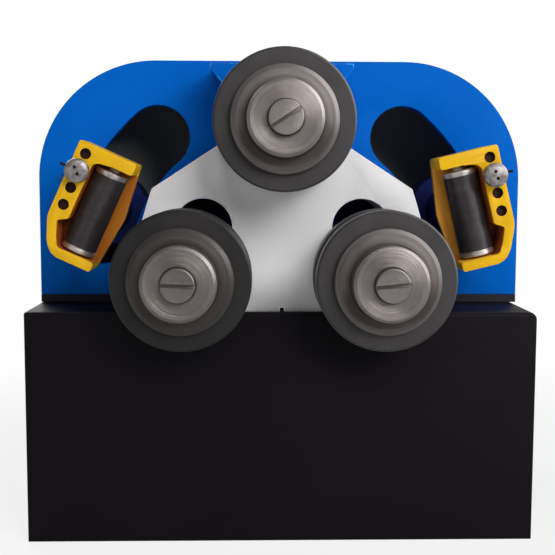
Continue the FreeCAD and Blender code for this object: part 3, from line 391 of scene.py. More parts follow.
steels = {
    "roll_steel": {"dark": rgb(0.046, 0.043, 0.045), "light": rgb(0.068, 0.063, 0.064),
                   "oilAndShade": rgb(0.030, 0.026, 0.025), "rim": rgb(0.13, 0.125, 0.125), "rimFrom": 0.0785,
                   "rimShare": 0.6, "seatFrom": 0.0600, "seatTo": 0.0625, "seatShare": 0.7, "stained": 0.5,
                   "fine": 1400, "rings": 300, "smear": 16, "stain": 11, "roughness": 0.46,
                   "ringDeep": 0.00008, "metal": 0.45, "axis": "Y"},
    "collar_steel": {"dark": rgb(0.115, 0.100, 0.096), "light": rgb(0.165, 0.148, 0.142),
                     "oilAndShade": rgb(0.055, 0.044, 0.040), "rim": rgb(0.20, 0.185, 0.18), "rimFrom": 0.0553,
                     "rimShare": 0.6, "seatFrom": 0.0425, "seatTo": 0.0490, "seatShare": 0.6, "stained": 0.5,
                     "fine": 2000, "rings": 330, "smear": 24, "stain": 17, "roughness": 0.4,
                     "ringDeep": 0.00012, "metal": 0.6, "axis": "Y", "shadowTop": 0.002, "shadowTo": 0.0545,
                     "shadowShare": 0.85},
    "nut_steel": {"dark": rgb(0.255, 0.225, 0.215), "light": rgb(0.36, 0.325, 0.31),
                  "oilAndShade": rgb(0.10, 0.080, 0.072), "rim": rgb(0.42, 0.39, 0.38), "rimFrom": 0.0378,
                  "rimShare": 0.4, "seatFrom": 0.0194, "seatTo": 0.0212, "seatShare": 0.7, "stained": 0.35,
                  "fine": 2000, "rings": 340, "smear": 26, "stain": 20, "roughness": 0.36,
                  "ringDeep": 0.00014, "metal": 0.75, "axis": "Y", "shadowTop": -0.004, "shadowTo": 0.0215,
                  "shadowShare": 0.9},
    "shaft_steel": {"dark": rgb(0.235, 0.21, 0.20), "light": rgb(0.33, 0.30, 0.285),
                    "oilAndShade": rgb(0.10, 0.080, 0.072), "rim": rgb(0.42, 0.39, 0.38), "rimFrom": 0.0178,
                    "rimShare": 0.5, "stained": 0.4, "fine": 1300, "rings": 400, "smear": 34, "stain": 26,
                    "roughness": 0.36, "ringDeep": 0.00010, "metal": 0.6, "axis": "Y"},
    "guide_steel": {"dark": rgb(0.034, 0.029, 0.031), "light": rgb(0.054, 0.048, 0.050),
                    "oilAndShade": rgb(0.021, 0.017, 0.017), "rim": rgb(0.06, 0.055, 0.056), "rimFrom": 0.0197,
                    "rimShare": 0.2, "stained": 0.6, "fine": 1200, "rings": 150, "smear": 60, "stain": 46,
                    "roughness": 0.39, "ringDeep": 0.00006, "metal": 0.6, "axis": "Z"},
    "lip_steel": {"dark": rgb(0.36, 0.33, 0.32), "light": rgb(0.56, 0.52, 0.51), "oilAndShade": rgb(0.2, 0.17, 0.16),
                  "rim": rgb(0.64, 0.61, 0.60), "rimFrom": 0.0192, "rimShare": 0.4, "stained": 0.3,
                  "fine": 1200, "rings": 220, "smear": 40, "stain": 34, "roughness": 0.34,
                  "ringDeep": 0.00004, "metal": 0.85, "axis": "Z"},
}
stocks = {
    "fastener_steel": {"dark": rgb(0.40, 0.39, 0.38), "light": rgb(0.58, 0.57, 0.56), "grain": 500,
                       "blot": 120, "roughness": 0.38, "grainDeep": 0.00003, "metal": 0.8},
    "pin_zinc": {"dark": rgb(0.15, 0.138, 0.135), "light": rgb(0.32, 0.30, 0.292), "grain": 420,
                 "blot": 150, "roughness": 0.4, "grainDeep": 0.00004, "metal": 0.55},
    "bush_brass": {"dark": rgb(0.50, 0.33, 0.12), "light": rgb(0.66, 0.47, 0.19), "grain": 600,
                   "blot": 70, "roughness": 0.34, "grainDeep": 0.00003, "metal": 1.0},
    "valve_alloy": {"dark": rgb(0.55, 0.55, 0.56), "light": rgb(0.68, 0.68, 0.69), "grain": 400,
                    "blot": 50, "roughness": 0.38, "grainDeep": 0.00003, "metal": 1.0,
                    "stretch": (0.1, 1, 1)},
    "ram_chrome": {"dark": rgb(0.70, 0.70, 0.71), "light": rgb(0.80, 0.80, 0.81), "grain": 700,
                   "blot": 40, "roughness": 0.2, "grainDeep": 0.00001, "metal": 1.0},
    "bare_shaft": {"dark": rgb(0.30, 0.28, 0.27), "light": rgb(0.42, 0.40, 0.38), "grain": 500,
                   "blot": 60, "roughness": 0.36, "grainDeep": 0.00003, "metal": 0.9},
}
castings = {
    "motor_black": {"colour": rgb(0.022, 0.022, 0.024), "dustAndShade": rgb(0.06, 0.058, 0.055), "skin": 260,
                    "roughness": 0.45, "skinDeep": 0.0002, "specular": 0.35},
    "dark_pin_and_hole_shade": {"colour": rgb(0.014, 0.009, 0.008), "dustAndShade": rgb(0.024, 0.017, 0.014), "skin": 300,
                  "roughness": 0.55, "skinDeep": 0.00004, "specular": 0.1},
}
# the shaft slot, bracket window and pocket, behind-nose and low-nose colours here are painted shade; the bore
# colour is oily walls with painted shade; the inside colour is primer
grimeAndShade = {"slot": rgb(0.13, 0.108, 0.098), "left": rgb(0.42, 0.135, 0.012), "right": rgb(0.85, 0.38, 0.05),
         "bracketPocketShade": rgb(0.34, 0.075, 0.014), "bore": rgb(0.040, 0.012, 0.007),
         "noseShade": rgb(0.030, 0.028, 0.034), "inside": rgb(0.34, 0.36, 0.38), "dustAndShade": rgb(0.22, 0.21, 0.21)}
finishes = {name: paint(name, paints[name])
            for name in ("blue_paint", "shaded_arm_blue", "black_gloss", "plinth_black", "frame_grey")}
finishes.update({name + "_edge": wornPaint(name + "_edge", look) for name, look in wear.items()})
finishes.update({name: plainSteel(name, look) for name, look in stocks.items()})
finishes.update({name: castMetal(name, look) for name, look in castings.items()})

# the rear plate and spacers are left in primer inside the round-cornered casing
casing = {"corner": 0.143, "sheet": 0.003, "frontSkin": 0.001, "rearSkin": 0.0005, "soft": 0.0003}
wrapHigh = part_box("casing_wrap")[1]
inside = {"low": (casing["sheet"] - wrapHigh.x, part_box("front_plate")[0].y + casing["frontSkin"], 0),
          "high": (wrapHigh.x - casing["sheet"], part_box("rear_plate")[0].y + casing["rearSkin"],
                   wrapHigh.z - casing["sheet"]),
          "corner": casing["corner"], "soft": casing["soft"], "colour": grimeAndShade["inside"]}
finishes["inner_blue"] = paint("inner_blue", paints["blue_paint"], zones=[inside])

# painted shade low on the nose plate, between the lower rolls
lowShadeLook = {"halfWide": 0.05, "ahead": 0.3, "below": 0.1, "above": 0.02, "soft": 0.035}
noseLow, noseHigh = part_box("nose_plate")
dustAndShade = {"low": (-lowShadeLook["halfWide"], -lowShadeLook["ahead"], noseLow.z - lowShadeLook["below"]),
        "high": (lowShadeLook["halfWide"], 0, noseLow.z + lowShadeLook["above"]), "soft": lowShadeLook["soft"],
        "colour": grimeAndShade["dustAndShade"]}
finishes["nose_grey"] = paint("nose_low_shade", paints["nose_grey"], zones=[dustAndShade])

# painted shade: the front plate is near black where the nose plate covers it
covered = {"inset": 0.022, "reach": 0.2, "above": 0.03, "soft": 0.004}
noseShadeZone = {"low": (noseLow.x + covered["inset"], -covered["reach"], noseLow.z), "soft": covered["soft"],
          "high": (noseHigh.x - covered["inset"], covered["reach"],
                   middle("left_guide_roller").z + covered["above"]), "colour": grimeAndShade["noseShade"]}
finishes["front_plate"] = paint("front_plate_blue", paints["blue_paint"], zones=[noseShadeZone])
finishes["front_plate_edge"] = finishes["front_plate"]
finishes["cast_blue"] = paint("cast_blue", dict(paints["blue_paint"], peel=300, peelDeep=0.00012))

# a guide stem takes the arms' dark blue, painted shade, and the index plate at its outer end is casing blue
indexLook = {"from": 0.02, "to": 0.09, "front": -0.1, "rear": 0.3, "halfHigh": 0.09, "soft": 0.001}
for side, sign in sides.items():
    outer = sorted((sign * indexLook["from"], sign * indexLook["to"]))
    index = {"low": (outer[0], indexLook["front"], -indexLook["halfHigh"]),
             "high": (outer[1], indexLook["rear"], indexLook["halfHigh"]), "soft": indexLook["soft"],
             "colour": paints["blue_paint"]["deep"]}
    finishes["stem_" + side] = paint("stem_" + side, paints["shaded_arm_blue"], guidePlace(side), zones=[index])
print("materials made:", len(finishes))


# making pieces
shapeLook = {"crease": 28, "flat": 0.4}           # degrees


def addPiece(shape, name, body, slotName, materials, edge=None, segments=2, edgeMaterial=-1):
    data = bpy.data.meshes.new(name)
    shape.to_mesh(data)
    shape.free()
    data.shade_smooth()
    piece = bpy.data.objects.new(name, data)
    scene.collection.objects.link(piece)
    for material in materials:
        data.materials.append(material)
    crease = math.radians(shapeLook["crease"])
    if edge:
        soft = piece.modifiers.new("soft edges", "BEVEL")
        soft.width = edge
        soft.segments = segments
        soft.limit_method = "ANGLE"
        soft.angle_limit = crease
        soft.harden_normals = True
        soft.material = edgeMaterial
    else:
        data.set_sharp_from_angle(angle=crease)
    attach(piece, body)
    return piece


def flatCopy(node):               # the CAD shape without the cuts across its flat faces
    shape = mergedCopy(node)
    bmesh.ops.dissolve_limit(shape, angle_limit=math.radians(shapeLook["flat"]), verts=shape.verts,
                             edges=shape.edges)
    return shape


def softened(node, finish, slotName, edge):       # the CAD shape with its edges eased
    materials = [finishes[finish]]
    edgeMaterial = -1
    if finish + "_edge" in finishes:
        materials.append(finishes[finish + "_edge"])
        edgeMaterial = 1
    piece = addPiece(flatCopy(node), node + "_piece", bodyOf[node], slotName, materials, edge,
                     edgeMaterial=edgeMaterial)
    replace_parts(piece, node)


def turnedShape(profile, place, steps):           # profile of radius and distance along the axis
    shape = bmesh.new()
    verts = [shape.verts.new((radius, reach, 0)) for radius, reach in profile]
    closed = profile[0][0] > 0
    following = verts[1:] + verts[:1] if closed else verts[1:]
    edges = [shape.edges.new(pair) for pair in zip(verts, following)]
    bmesh.ops.spin(shape, geom=verts + edges, cent=(0, 0, 0), axis=(0, 1, 0), angle=2 * math.pi, steps=steps,
                   use_merge=True)
    bmesh.ops.remove_doubles(shape, verts=shape.verts, dist=mergeGap)
    bmesh.ops.recalc_face_normals(shape, faces=shape.faces)
    bmesh.ops.transform(shape, matrix=place, verts=shape.verts)
    return shape


def ringProfile(bore, radius, front, rear, chamfer, boreChamfer=0.0005):
    return [(bore + boreChamfer, front), (radius - chamfer, front), (radius, front + chamfer),
            (radius, rear - chamfer), (radius - chamfer, rear), (bore + boreChamfer, rear),
            (bore, rear - boreChamfer), (bore, front + boreChamfer)]


# pieces that keep the CAD shape: finish, slot, edge width and nodes
kept = (
    ("black_gloss", "black_gloss", 0.0006, ("base_cover", "base_front_panel", "base_rear_panel")),
    ("plinth_black", "black_gloss", 0.0006, ("front_plinth",)),
    ("frame_grey", "frame_grey", 0.001, ("base_floor", "base_frame", "oil_tank", "ram_cylinders")),
    ("front_plate", "blue_paint", 0.001, ("front_plate",)),
    ("inner_blue", "blue_paint", 0.001, ("rear_plate", "spacer_bars")),
    ("blue_paint", "blue_paint", 0.0006, ("casing_wrap", "rear_cover")),
    ("cast_blue", "blue_paint", 0.0024, ("top_bearing_housing",)),
    ("shaded_arm_blue", "blue_paint", 0.0015, ("left_arm", "right_arm")),
    ("stem_left", "blue_paint", 0.001, ("left_guide_stem",)),
    ("stem_right", "blue_paint", 0.001, ("right_guide_stem",)),
    ("nose_grey", "nose_grey", 0.0008, ("nose_plate", "nose_spacers")),
    ("bush_brass", "bush_brass", 0.0006, ("top_bushes", "left_arm_bushes", "right_arm_bushes", "ram_glands")),
    ("motor_black", "motor_black", 0.002, ("top_motor", "left_motor", "right_motor", "pump_motor")),
    ("valve_alloy", "valve_alloy", 0.001, ("valve_block",)),
    ("fastener_steel", "fastener_steel", 0.0008, ("left_guide_axle", "right_guide_axle")),
    ("ram_chrome", "ram_chrome", 0.0008, ("left_ram_rod", "right_ram_rod")),
    ("bare_shaft", "shaft_steel", 0.001, ("fulcrum_shaft",)),
    ("bare_shaft", "shaft_steel", 0.0005, tuple(roll + "_key" for roll in rolls)),
)
for finish, slotName, edge, members in kept:
    for node in members:
        softened(node, finish, slotName, edge)
print("plain pieces eased")


# rolls: turned facings, and painted shade: each roll's steels are scaled darker by how light falls on it, the left
# roll most
rollLook = {
    "flangeChamfer": 0.0022, "nutChamfer": 0.0035, "collarChamfer": 0.005, "bore": 0.019, "shaft": 0.025,
    "edge": 0.0004, "steps": 128, "recess": 0.0006, "recessOut": 0.0016, "skin": 0.0007,
    "oilWide": 0.1, "oilSoft": 0.0003,
    "facing": {"top_roll": 0.0004, "left_roll": 0.0004, "right_roll": 0.0006},
    "polish": {"top_roll": 0.34, "left_roll": 0.34, "right_roll": 0.3},
    "paintedShade": {"top_roll": {"roll": 0.78, "collar": 1.0, "nut": 0.70, "shaft": 0.75},
              "left_roll": {"roll": 0.35, "collar": 0.42, "nut": 0.585, "shaft": 0.51},
              "right_roll": {"roll": 0.83, "collar": 0.94, "nut": 0.71, "shaft": 0.62}},
}


def makeRoll(roll):
    look = rollLook
    place = rollPlace(roll)
    nutLow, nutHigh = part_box(roll + "_nut")
    nutRadius = (nutHigh.x - nutLow.x) / 2
    # painted shade over the shaft behind its end face, in the slot and inside the nut
    wide = look["oilWide"]
    slotShade = {"low": (-wide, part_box(roll + "_shaft")[0].y + look["skin"], -wide),
            "high": (wide, nutLow.y, wide), "soft": look["oilSoft"], "colour": grimeAndShade["slot"]}

    def paintedShadeSteel(part, zones=(), **changes):
        share = look["paintedShade"][roll][part]
        steel = dict(steels[part + "_steel"], **changes)
        for key in ("dark", "light", "rim"):
            steel[key] = rgb(*(value * share for value in steel[key][:3]))
        return turnedSteel(f"{part}_steel_{roll}", place, steel, zones)

    turned = look["facing"][roll]
    own = {"roll": paintedShadeSteel("roll"), "collar": paintedShadeSteel("collar", ringDeep=turned),
           "nut": paintedShadeSteel("nut", ringDeep=turned, roughness=look["polish"][roll]),
           "shaft": paintedShadeSteel("shaft", [slotShade])}

    def ring(name, node, slotName, material, profile):
        shape = turnedShape(profile, place, look["steps"])
        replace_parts(addPiece(shape, roll + name, roll, slotName, [own[material]], look["edge"]), roll + node)

    for number, (low, high) in enumerate(sorted(solidBoxes(roll + "_flanges"), key=lambda box: box[0].y)):
        ring(f"_flange_{number + 1}", "_flanges", "roll_steel", "roll",
             ringProfile(look["shaft"], (high.x - low.x) / 2, low.y, high.y, look["flangeChamfer"]))

    low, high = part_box(roll + "_groove_disc")
    ring("_groove", "_groove_disc", "roll_steel", "roll",
         ringProfile(look["shaft"], (high.x - low.x) / 2, low.y, high.y, look["skin"]))

    low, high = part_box(roll + "_collar")      # a shallow recess seats the nut
    radius = (high.x - low.x) / 2
    seat = nutRadius + look["recessOut"]
    ring("_clamp_collar", "_collar", "collar_steel", "collar",
         [(look["bore"], low.y + look["recess"]), (seat, low.y + look["recess"]),
          (seat + look["recess"], low.y), (radius - look["collarChamfer"], low.y),
          (radius, low.y + look["collarChamfer"]), (radius, high.y), (look["bore"], high.y)])

    countersink = look["recess"] * 2
    ring("_round_nut", "_nut", "shaft_steel", "nut",
         [(look["bore"], nutLow.y + countersink), (look["bore"] + countersink, nutLow.y),
          (nutRadius - look["nutChamfer"], nutLow.y), (nutRadius, nutLow.y + look["nutChamfer"]),
          (nutRadius, nutHigh.y), (look["bore"], nutHigh.y)])

    piece = addPiece(flatCopy(roll + "_shaft"), roll + "_slotted_shaft", roll, "shaft_steel", [own["shaft"]],
                     look["edge"])
    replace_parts(piece, roll + "_shaft")


for roll in rolls:
    makeRoll(roll)
print("rolls turned")


# guide brackets: corners by outward, up and round, painted shade by outward, depth and height
bracketLook = {
    "edge": 0.001, "cornerRound": 0.003, "cornerTurn": 0.6, "cornerSteps": 4, "bigTurn": 0.25, "bigSteps": 6,
    "near": 0.002, "clear": 1.1, "straight": 0.99, "shortest": 0.008, "spigot": 0.016, "deepSoft": 0.0015,
    "bigCorners": ((0.0215, 0.0535, 0.008), (0.045, -0.024, 0.006), (0.038, -0.041, 0.006),
                   (0.034, -0.052, 0.006), (0.0225, -0.0645, 0.006)),
    "windowShade": (((-0.042, 0.0345), (-0.020, 0.0235), (-0.044, 0.0575)),
                    ((-0.042, 0.0285), (-0.020, 0.0235), (-0.055, -0.042))),
    "pocketShade": (((0.012, 0.0345), (-0.023, 0.0235), (-0.044, -0.0165)),
                    ((0.012, 0.0285), (-0.023, 0.0235), (-0.055, -0.042)),
                    ((0.014, 0.0235), (-0.022, 0.0235), (-0.055, 0.0555))),
    "boreRadius": 0.0062, "boreOut": 0.033, "boreFirst": 0.0588, "borePitch": 0.0212, "boreCount": 4,
    "disc": 0.001, "discIn": 0.007, "discGap": 0.0001, "discEdge": 0.0002, "discSteps": 32,
}


def cornerEdges(shape, toOwn, sign, turn):        # edges that run front to back at a bracket's corners
    look = bracketLook
    found = []
    for edge in shape.edges:
        run = edge.verts[1].co - edge.verts[0].co
        if run.length < look["shortest"] or abs(run.y) < look["straight"] * run.length:
            continue
        if not edge.is_manifold or edge.calc_face_angle() < turn:
            continue
        spot = toOwn @ edge.verts[0].co
        outward = spot.x * sign
        below = look["boreFirst"] - spot.z
        bore = min(math.hypot(outward - look["boreOut"], look["borePitch"] * step - below)
                   for step in range(look["boreCount"]))
        spigot = math.hypot(outward, spot.z)
        if bore > look["boreRadius"] * look["clear"] and spigot > look["spigot"] * look["clear"]:
            found.append((edge, outward, spot.z))
    return found


def roundEdges(shape, edges, radius, segments):
    bmesh.ops.bevel(shape, geom=edges, offset=radius, offset_type="OFFSET", segments=segments, profile=0.5,
                    affect="EDGES", clamp_overlap=True, material=-1)


def makeBracket(side):
    look = bracketLook
    sign = sides[side]
    node = side + "_guide_bracket"
    place = guidePlace(side)
    toOwn = place.inverted()
    shape = flatCopy(node)
    for outward, up, radius in look["bigCorners"]:
        found = cornerEdges(shape, toOwn, sign, look["bigTurn"])
        picked = [edge for edge, x, z in found if math.hypot(x - outward, z - up) < look["near"]]
        roundEdges(shape, picked, radius, look["bigSteps"])
    small = [edge for edge, x, z in cornerEdges(shape, toOwn, sign, look["cornerTurn"])]
    roundEdges(shape, small, look["cornerRound"], look["cornerSteps"])

    def zone(outward, depth, height, colour):
        across = sorted(sign * reach for reach in outward)
        return {"low": (across[0], depth[0], height[0]), "high": (across[1], depth[1], height[1]),
                "soft": look["deepSoft"], "colour": colour}

    # painted shade on the window walls and back strip, darker on the left bracket than on the right, and in the
    # pockets
    zones = [zone(*spans, grimeAndShade[side]) for spans in look["windowShade"]]
    zones += [zone(*spans, grimeAndShade["bracketPocketShade"]) for spans in look["pocketShade"]]
    bores = [{"x": sign * look["boreOut"], "z": look["boreFirst"] - look["borePitch"] * step,
              "radius": look["boreRadius"], "colour": grimeAndShade["bore"]} for step in range(look["boreCount"])]
    yellow = paint("yellow_" + side, paints["yellow_paint"], place, zones, bores)
    piece = addPiece(shape, node + "_cast", bodyOf[node], "yellow_paint", [yellow], look["edge"])
    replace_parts(piece, node)

    pin = middle(side + "_guide_pin")             # dark discs in the spare holes are painted shade deep in them
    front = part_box(node)[0].y + look["discIn"]
    radius = look["boreRadius"] - look["discGap"]
    for step in range(look["boreCount"]):
        height = look["boreFirst"] - look["borePitch"] * step
        spot = place @ Vector((sign * look["boreOut"], 0, height))
        if abs(spot.z - pin.z) > look["borePitch"] / 2:
            disc = [(0, front), (radius, front), (radius, front + look["disc"]), (0, front + look["disc"])]
            addPiece(turnedShape(disc, Matrix.Translation((spot.x, 0, spot.z)), look["discSteps"]),
                     f"{side}_hole_shade_disc_{step + 1}", bodyOf[node], "yellow_paint", [yellow],
                     look["discEdge"])


for side in sides:
    makeBracket(side)
print("brackets cast")


# guide rollers: a dark barrel between two bright lips
guideLook = {"lip": 0.005, "groove": 0.002, "waist": 0.001, "crown": 0.0006, "bore": 0.00805, "edge": 0.0003,
             "steps": 72}


def makeGuideRoller(side):
    look = guideLook
    node = side + "_guide_roller"
    body = side + "_guide_roll"
    place = guidePlace(side)
    upright = place @ Matrix.Rotation(math.radians(90), 4, "X")
    low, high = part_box(node)
    lean = place.to_3x3() @ Vector((0, 0, 1))
    radius = (high.y - low.y) / 2
    half = ((high.z - low.z) / 2 - radius * abs(lean.x)) / lean.z
    inner = half - look["lip"] - look["groove"]
    crown = look["crown"]
    bore = look["bore"]
    skin = turnedSteel("guide_steel_" + side, place, steels["guide_steel"])
    bright = turnedSteel("lip_steel_" + side, place, steels["lip_steel"])
    profile = [(bore, -inner), (radius - crown, -inner), (radius, -inner + crown), (radius, inner - crown),
               (radius - crown, inner), (bore, inner)]
    barrel = addPiece(turnedShape(profile, upright, look["steps"]), node + "_barrel", body, "guide_steel",
                      [skin], look["edge"])
    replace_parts(barrel, node)
    for number, sign in enumerate((-1, 1)):
        foot, step, tip = (sign * reach for reach in (inner, inner + look["groove"], half))
        turn = sign * crown * 2
        profile = [(bore, foot), (radius - look["waist"], foot), (radius - look["waist"], step),
                   (radius, step), (radius, tip - turn), (radius - crown * 2, tip), (bore, tip)]
        lip = addPiece(turnedShape(profile, upright, look["steps"]), f"{node}_lip_{number + 1}", body,
                       "fastener_steel", [bright], look["edge"])
        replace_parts(lip, node)


for side in sides:
    makeGuideRoller(side)
print("guide rollers turned")


# lock pins: the dome's profile is in shares of the head's radius and of the dome's height
pinLook = {"headRadius": 0.014, "headHigh": 0.012, "dome": 0.003, "neck": 0.008, "shank": 0.006,
           "domeProfile": ((0.55, 0.1), (0.82, 0.42), (0.96, 1.0), (1.0, 1.7)), "groove": 0.0012,
           "standOff": 0.004, "spotRadius": 0.0021, "spotOut": 0.0042, "spotDeep": 0.0012, "spotTurn": 110,
           "spotProud": 0.00005, "spotEdge": 0.0002, "cotter": 0.0016, "cotterLong": 0.021,
           "cotterEdge": 0.0003, "edge": 0.0004, "steps": 64, "smallSteps": 20}


def makeLockPin(side):
    look = pinLook
    sign = sides[side]
    node = side + "_guide_pin"
    body = side + "_lock_pin"
    low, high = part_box(node)
    head = look["headRadius"]
    centre = Vector(((low.x if sign > 0 else high.x) + sign * head, 0, (low.z + high.z) / 2))
    front = low.y
    rear = front + look["headHigh"]
    dome = look["dome"]
    groove = look["groove"]

    def add(name, shape, material, edge):
        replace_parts(addPiece(shape, node + name, body, "fastener_steel", [finishes[material]], edge), node)

    profile = [(0, front)] + [(head * out, front + dome * deep) for out, deep in look["domeProfile"]]
    profile += [(head, rear - groove * 2), (head - groove, rear - groove), (head - groove, rear),
                (look["neck"], rear), (look["neck"], rear + look["standOff"]),
                (look["shank"], rear + look["standOff"]), (look["shank"], high.y - groove),
                (look["shank"] - groove, high.y), (0, high.y)]
    add("_turned", turnedShape(profile, Matrix.Translation(centre), look["steps"]), "pin_zinc", look["edge"])

    outward = guidePlace(side).to_3x3() @ Vector((sign, 0, 0))
    start = Matrix.Translation(centre + back * (rear - look["cotter"] * 2))
    aim = start @ back.rotation_difference(outward).to_matrix().to_4x4()
    rod = [(0, 0), (look["cotter"], 0), (look["cotter"], look["cotterLong"]), (0, look["cotterLong"])]
    add("_cotter", turnedShape(rod, aim, look["smallSteps"]), "dark_pin_and_hole_shade", look["cotterEdge"])

    for number in range(2):               # two dark discs just proud of the dome paint the shade of two shallow spanner holes
        turn = math.radians(look["spotTurn"] + 180 * number)
        spot = centre + Vector((math.cos(turn) * look["spotOut"], front - look["spotProud"],
                                math.sin(turn) * look["spotOut"]))
        dot = [(0, 0), (look["spotRadius"], 0), (look["spotRadius"], look["spotDeep"]), (0, look["spotDeep"])]
        add(f"_spot_{number + 1}", turnedShape(dot, Matrix.Translation(spot), look["smallSteps"]),
            "dark_pin_and_hole_shade", look["spotEdge"])


for side in sides:
    makeLockPin(side)
print("lock pins made")


# bolts and screws: a socket head's profile is in shares of its radius and height
boltLook = {"washerBore": 0.003, "washerHigh": 0.0018, "washerChamfer": 0.0003, "washerSteps": 48,
            "flats": 0.0095, "headHigh": 0.0068, "turn": 17, "edge": 0.0005}
socketLook = {"floor": 0.3, "flat": 0.7, "shoulder": 0.94, "shoulderHigh": 0.75, "centre": 0.0005,
              "steps": 32}
screwLook = {"socket": 0.0026, "edge": 0.0003}
motorBoltLook = {"reach": 0.041, "head": 0.0065, "high": 0.006, "socket": 0.003, "edge": 0.0004,
                 "flangeHigh": 0.015, "count": 4, "firstTurn": 45}


def hexHead(shape, place, look, turn):            # a hexagon head that stands off along Y
    tilt = Matrix.Rotation(math.radians(90), 4, "X") @ Matrix.Rotation(math.radians(turn), 4, "Z")
    bmesh.ops.create_cone(shape, cap_ends=True, segments=6, radius1=look["flats"], radius2=look["flats"],
                          depth=look["headHigh"], matrix=place @ tilt)


def frameBolt(number, corners):
    look = boltLook
    low, high = corners
    centre = (low + high) / 2
    seat = Matrix.Translation((centre.x, low.y, centre.z))
    washer = ringProfile(look["washerBore"], (high.x - low.x) / 2, 0, look["washerHigh"],
                         look["washerChamfer"])
    shape = turnedShape(washer, seat, look["washerSteps"])
    lift = seat @ Matrix.Translation((0, look["washerHigh"] + look["headHigh"] / 2, 0))
    hexHead(shape, lift, look, look["turn"] * number)
    return addPiece(shape, f"frame_bolt_{number + 1}", "frame", "fastener_steel",
                    [finishes["fastener_steel"]], look["edge"])


def socketHead(name, place, radius, tall, look, body):
    form = socketLook
    floor = tall * form["floor"]
    profile = [(look["socket"], floor), (look["socket"], tall), (radius * form["flat"], tall),
               (radius * form["shoulder"], tall * form["shoulderHigh"]), (radius, 0.0),
               (form["centre"], 0.0), (form["centre"], floor)]
    return addPiece(turnedShape(profile, place, form["steps"]), name, body, "fastener_steel",
                    [finishes["fastener_steel"]], look["edge"])


def panelScrew(number, corners):
    low, high = corners
    centre = (low + high) / 2
    place = Matrix.Translation((centre.x, low.y, centre.z))
    return socketHead(f"panel_screw_{number + 1}", place, (high.x - low.x) / 2, high.y - low.y, screwLook,
                      "frame")


for node, maker in (("frame_bolts", frameBolt), ("panel_screws", panelScrew)):
    for number, corners in enumerate(solidBoxes(node)):
        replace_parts(maker(number, corners), node)

for node in ("top_motor", "left_motor", "right_motor"):
    look = motorBoltLook
    centre = rollPlace(node.replace("motor", "roll")).translation
    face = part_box(node)[0].y + look["flangeHigh"]
    reach = look["reach"] * math.sqrt(2)
    for number in range(look["count"]):
        turn = math.radians(look["firstTurn"] + 360 / look["count"] * number)
        place = Matrix.Translation((centre.x + math.cos(turn) * reach, face,
                                    centre.z + math.sin(turn) * reach))
        socketHead(f"{node}_bolt_{number + 1}", place, look["head"], look["high"], look, bodyOf[node])
print("bolts and screws made")


# louvre hoods, pressed out over the slits
louvreLook = {"count": 5, "pitch": 0.020, "slit": 0.007, "length": 0.150, "lap": 0.0025, "proud": 0.0026,
              "sheet": 0.0008, "cabinetDrop": 0.052, "steps": 8}


def makeHood(name, centreX, face, low, paintName):
    look = louvreLook
    tall = look["slit"] + look["lap"]
    half = look["length"] / 2 + look["lap"]
    shape = bmesh.new()
    ends = [shape.verts.new((sign * half, 0, tall)) for sign in (-1, 1)]
    edge = shape.edges.new(ends)
    bmesh.ops.spin(shape, geom=ends + [edge], cent=(0, 0, 0), axis=(1, 0, 0), angle=math.radians(-90),
                   steps=look["steps"])
    for sign in (-1, 1):
        rim = sorted((vert for vert in shape.verts if vert.co.x * sign > 0), key=lambda vert: vert.co.z)
        shape.faces.new([shape.verts.new((sign * half, 0, 0))] + rim)
    bmesh.ops.scale(shape, vec=(1, look["proud"] / tall, 1), verts=shape.verts)
    bmesh.ops.recalc_face_normals(shape, faces=shape.faces)
    if sum(face.normal.y for face in shape.faces) < 0:
        bmesh.ops.reverse_faces(shape, faces=shape.faces)
    bmesh.ops.translate(shape, vec=(centreX, face, low), verts=shape.verts)
    hood = addPiece(shape, name, "frame", paintName, [finishes[paintName]])
    wall = hood.modifiers.new("sheet", "SOLIDIFY")
    wall.thickness = look["sheet"]
    wall.offset = -1


def makeLouvres():
    look = louvreLook
    low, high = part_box("base_rear_panel")
    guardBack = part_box("rear_cover")[1].y
    for line in range(look["count"]):
        drop = look["pitch"] * line
        for name, sign in sides.items():
            makeHood(f"rear_hood_{name}_{line + 1}", sign * (high.x - low.x) / 4, high.y,
                     high.z - look["cabinetDrop"] - drop, "black_gloss")
        makeHood(f"guard_hood_{line + 1}", 0, guardBack, middle("top_roll_nut").z - drop, "blue_paint")


makeLouvres()
print("louvres pressed")


# weld beads where the casing meets its plates
weldLook = {"radius": 0.0028, "ripple": 0.0035, "swell": 0.14, "slowSwell": 0.1, "slowWave": 0.23, "sides": 8,
            "wander": 0.0003, "wanderWaves": (0.11, 0.17, 0.07), "corner": 0.146, "cornerSteps": 40,
            "rippleSteps": 3}


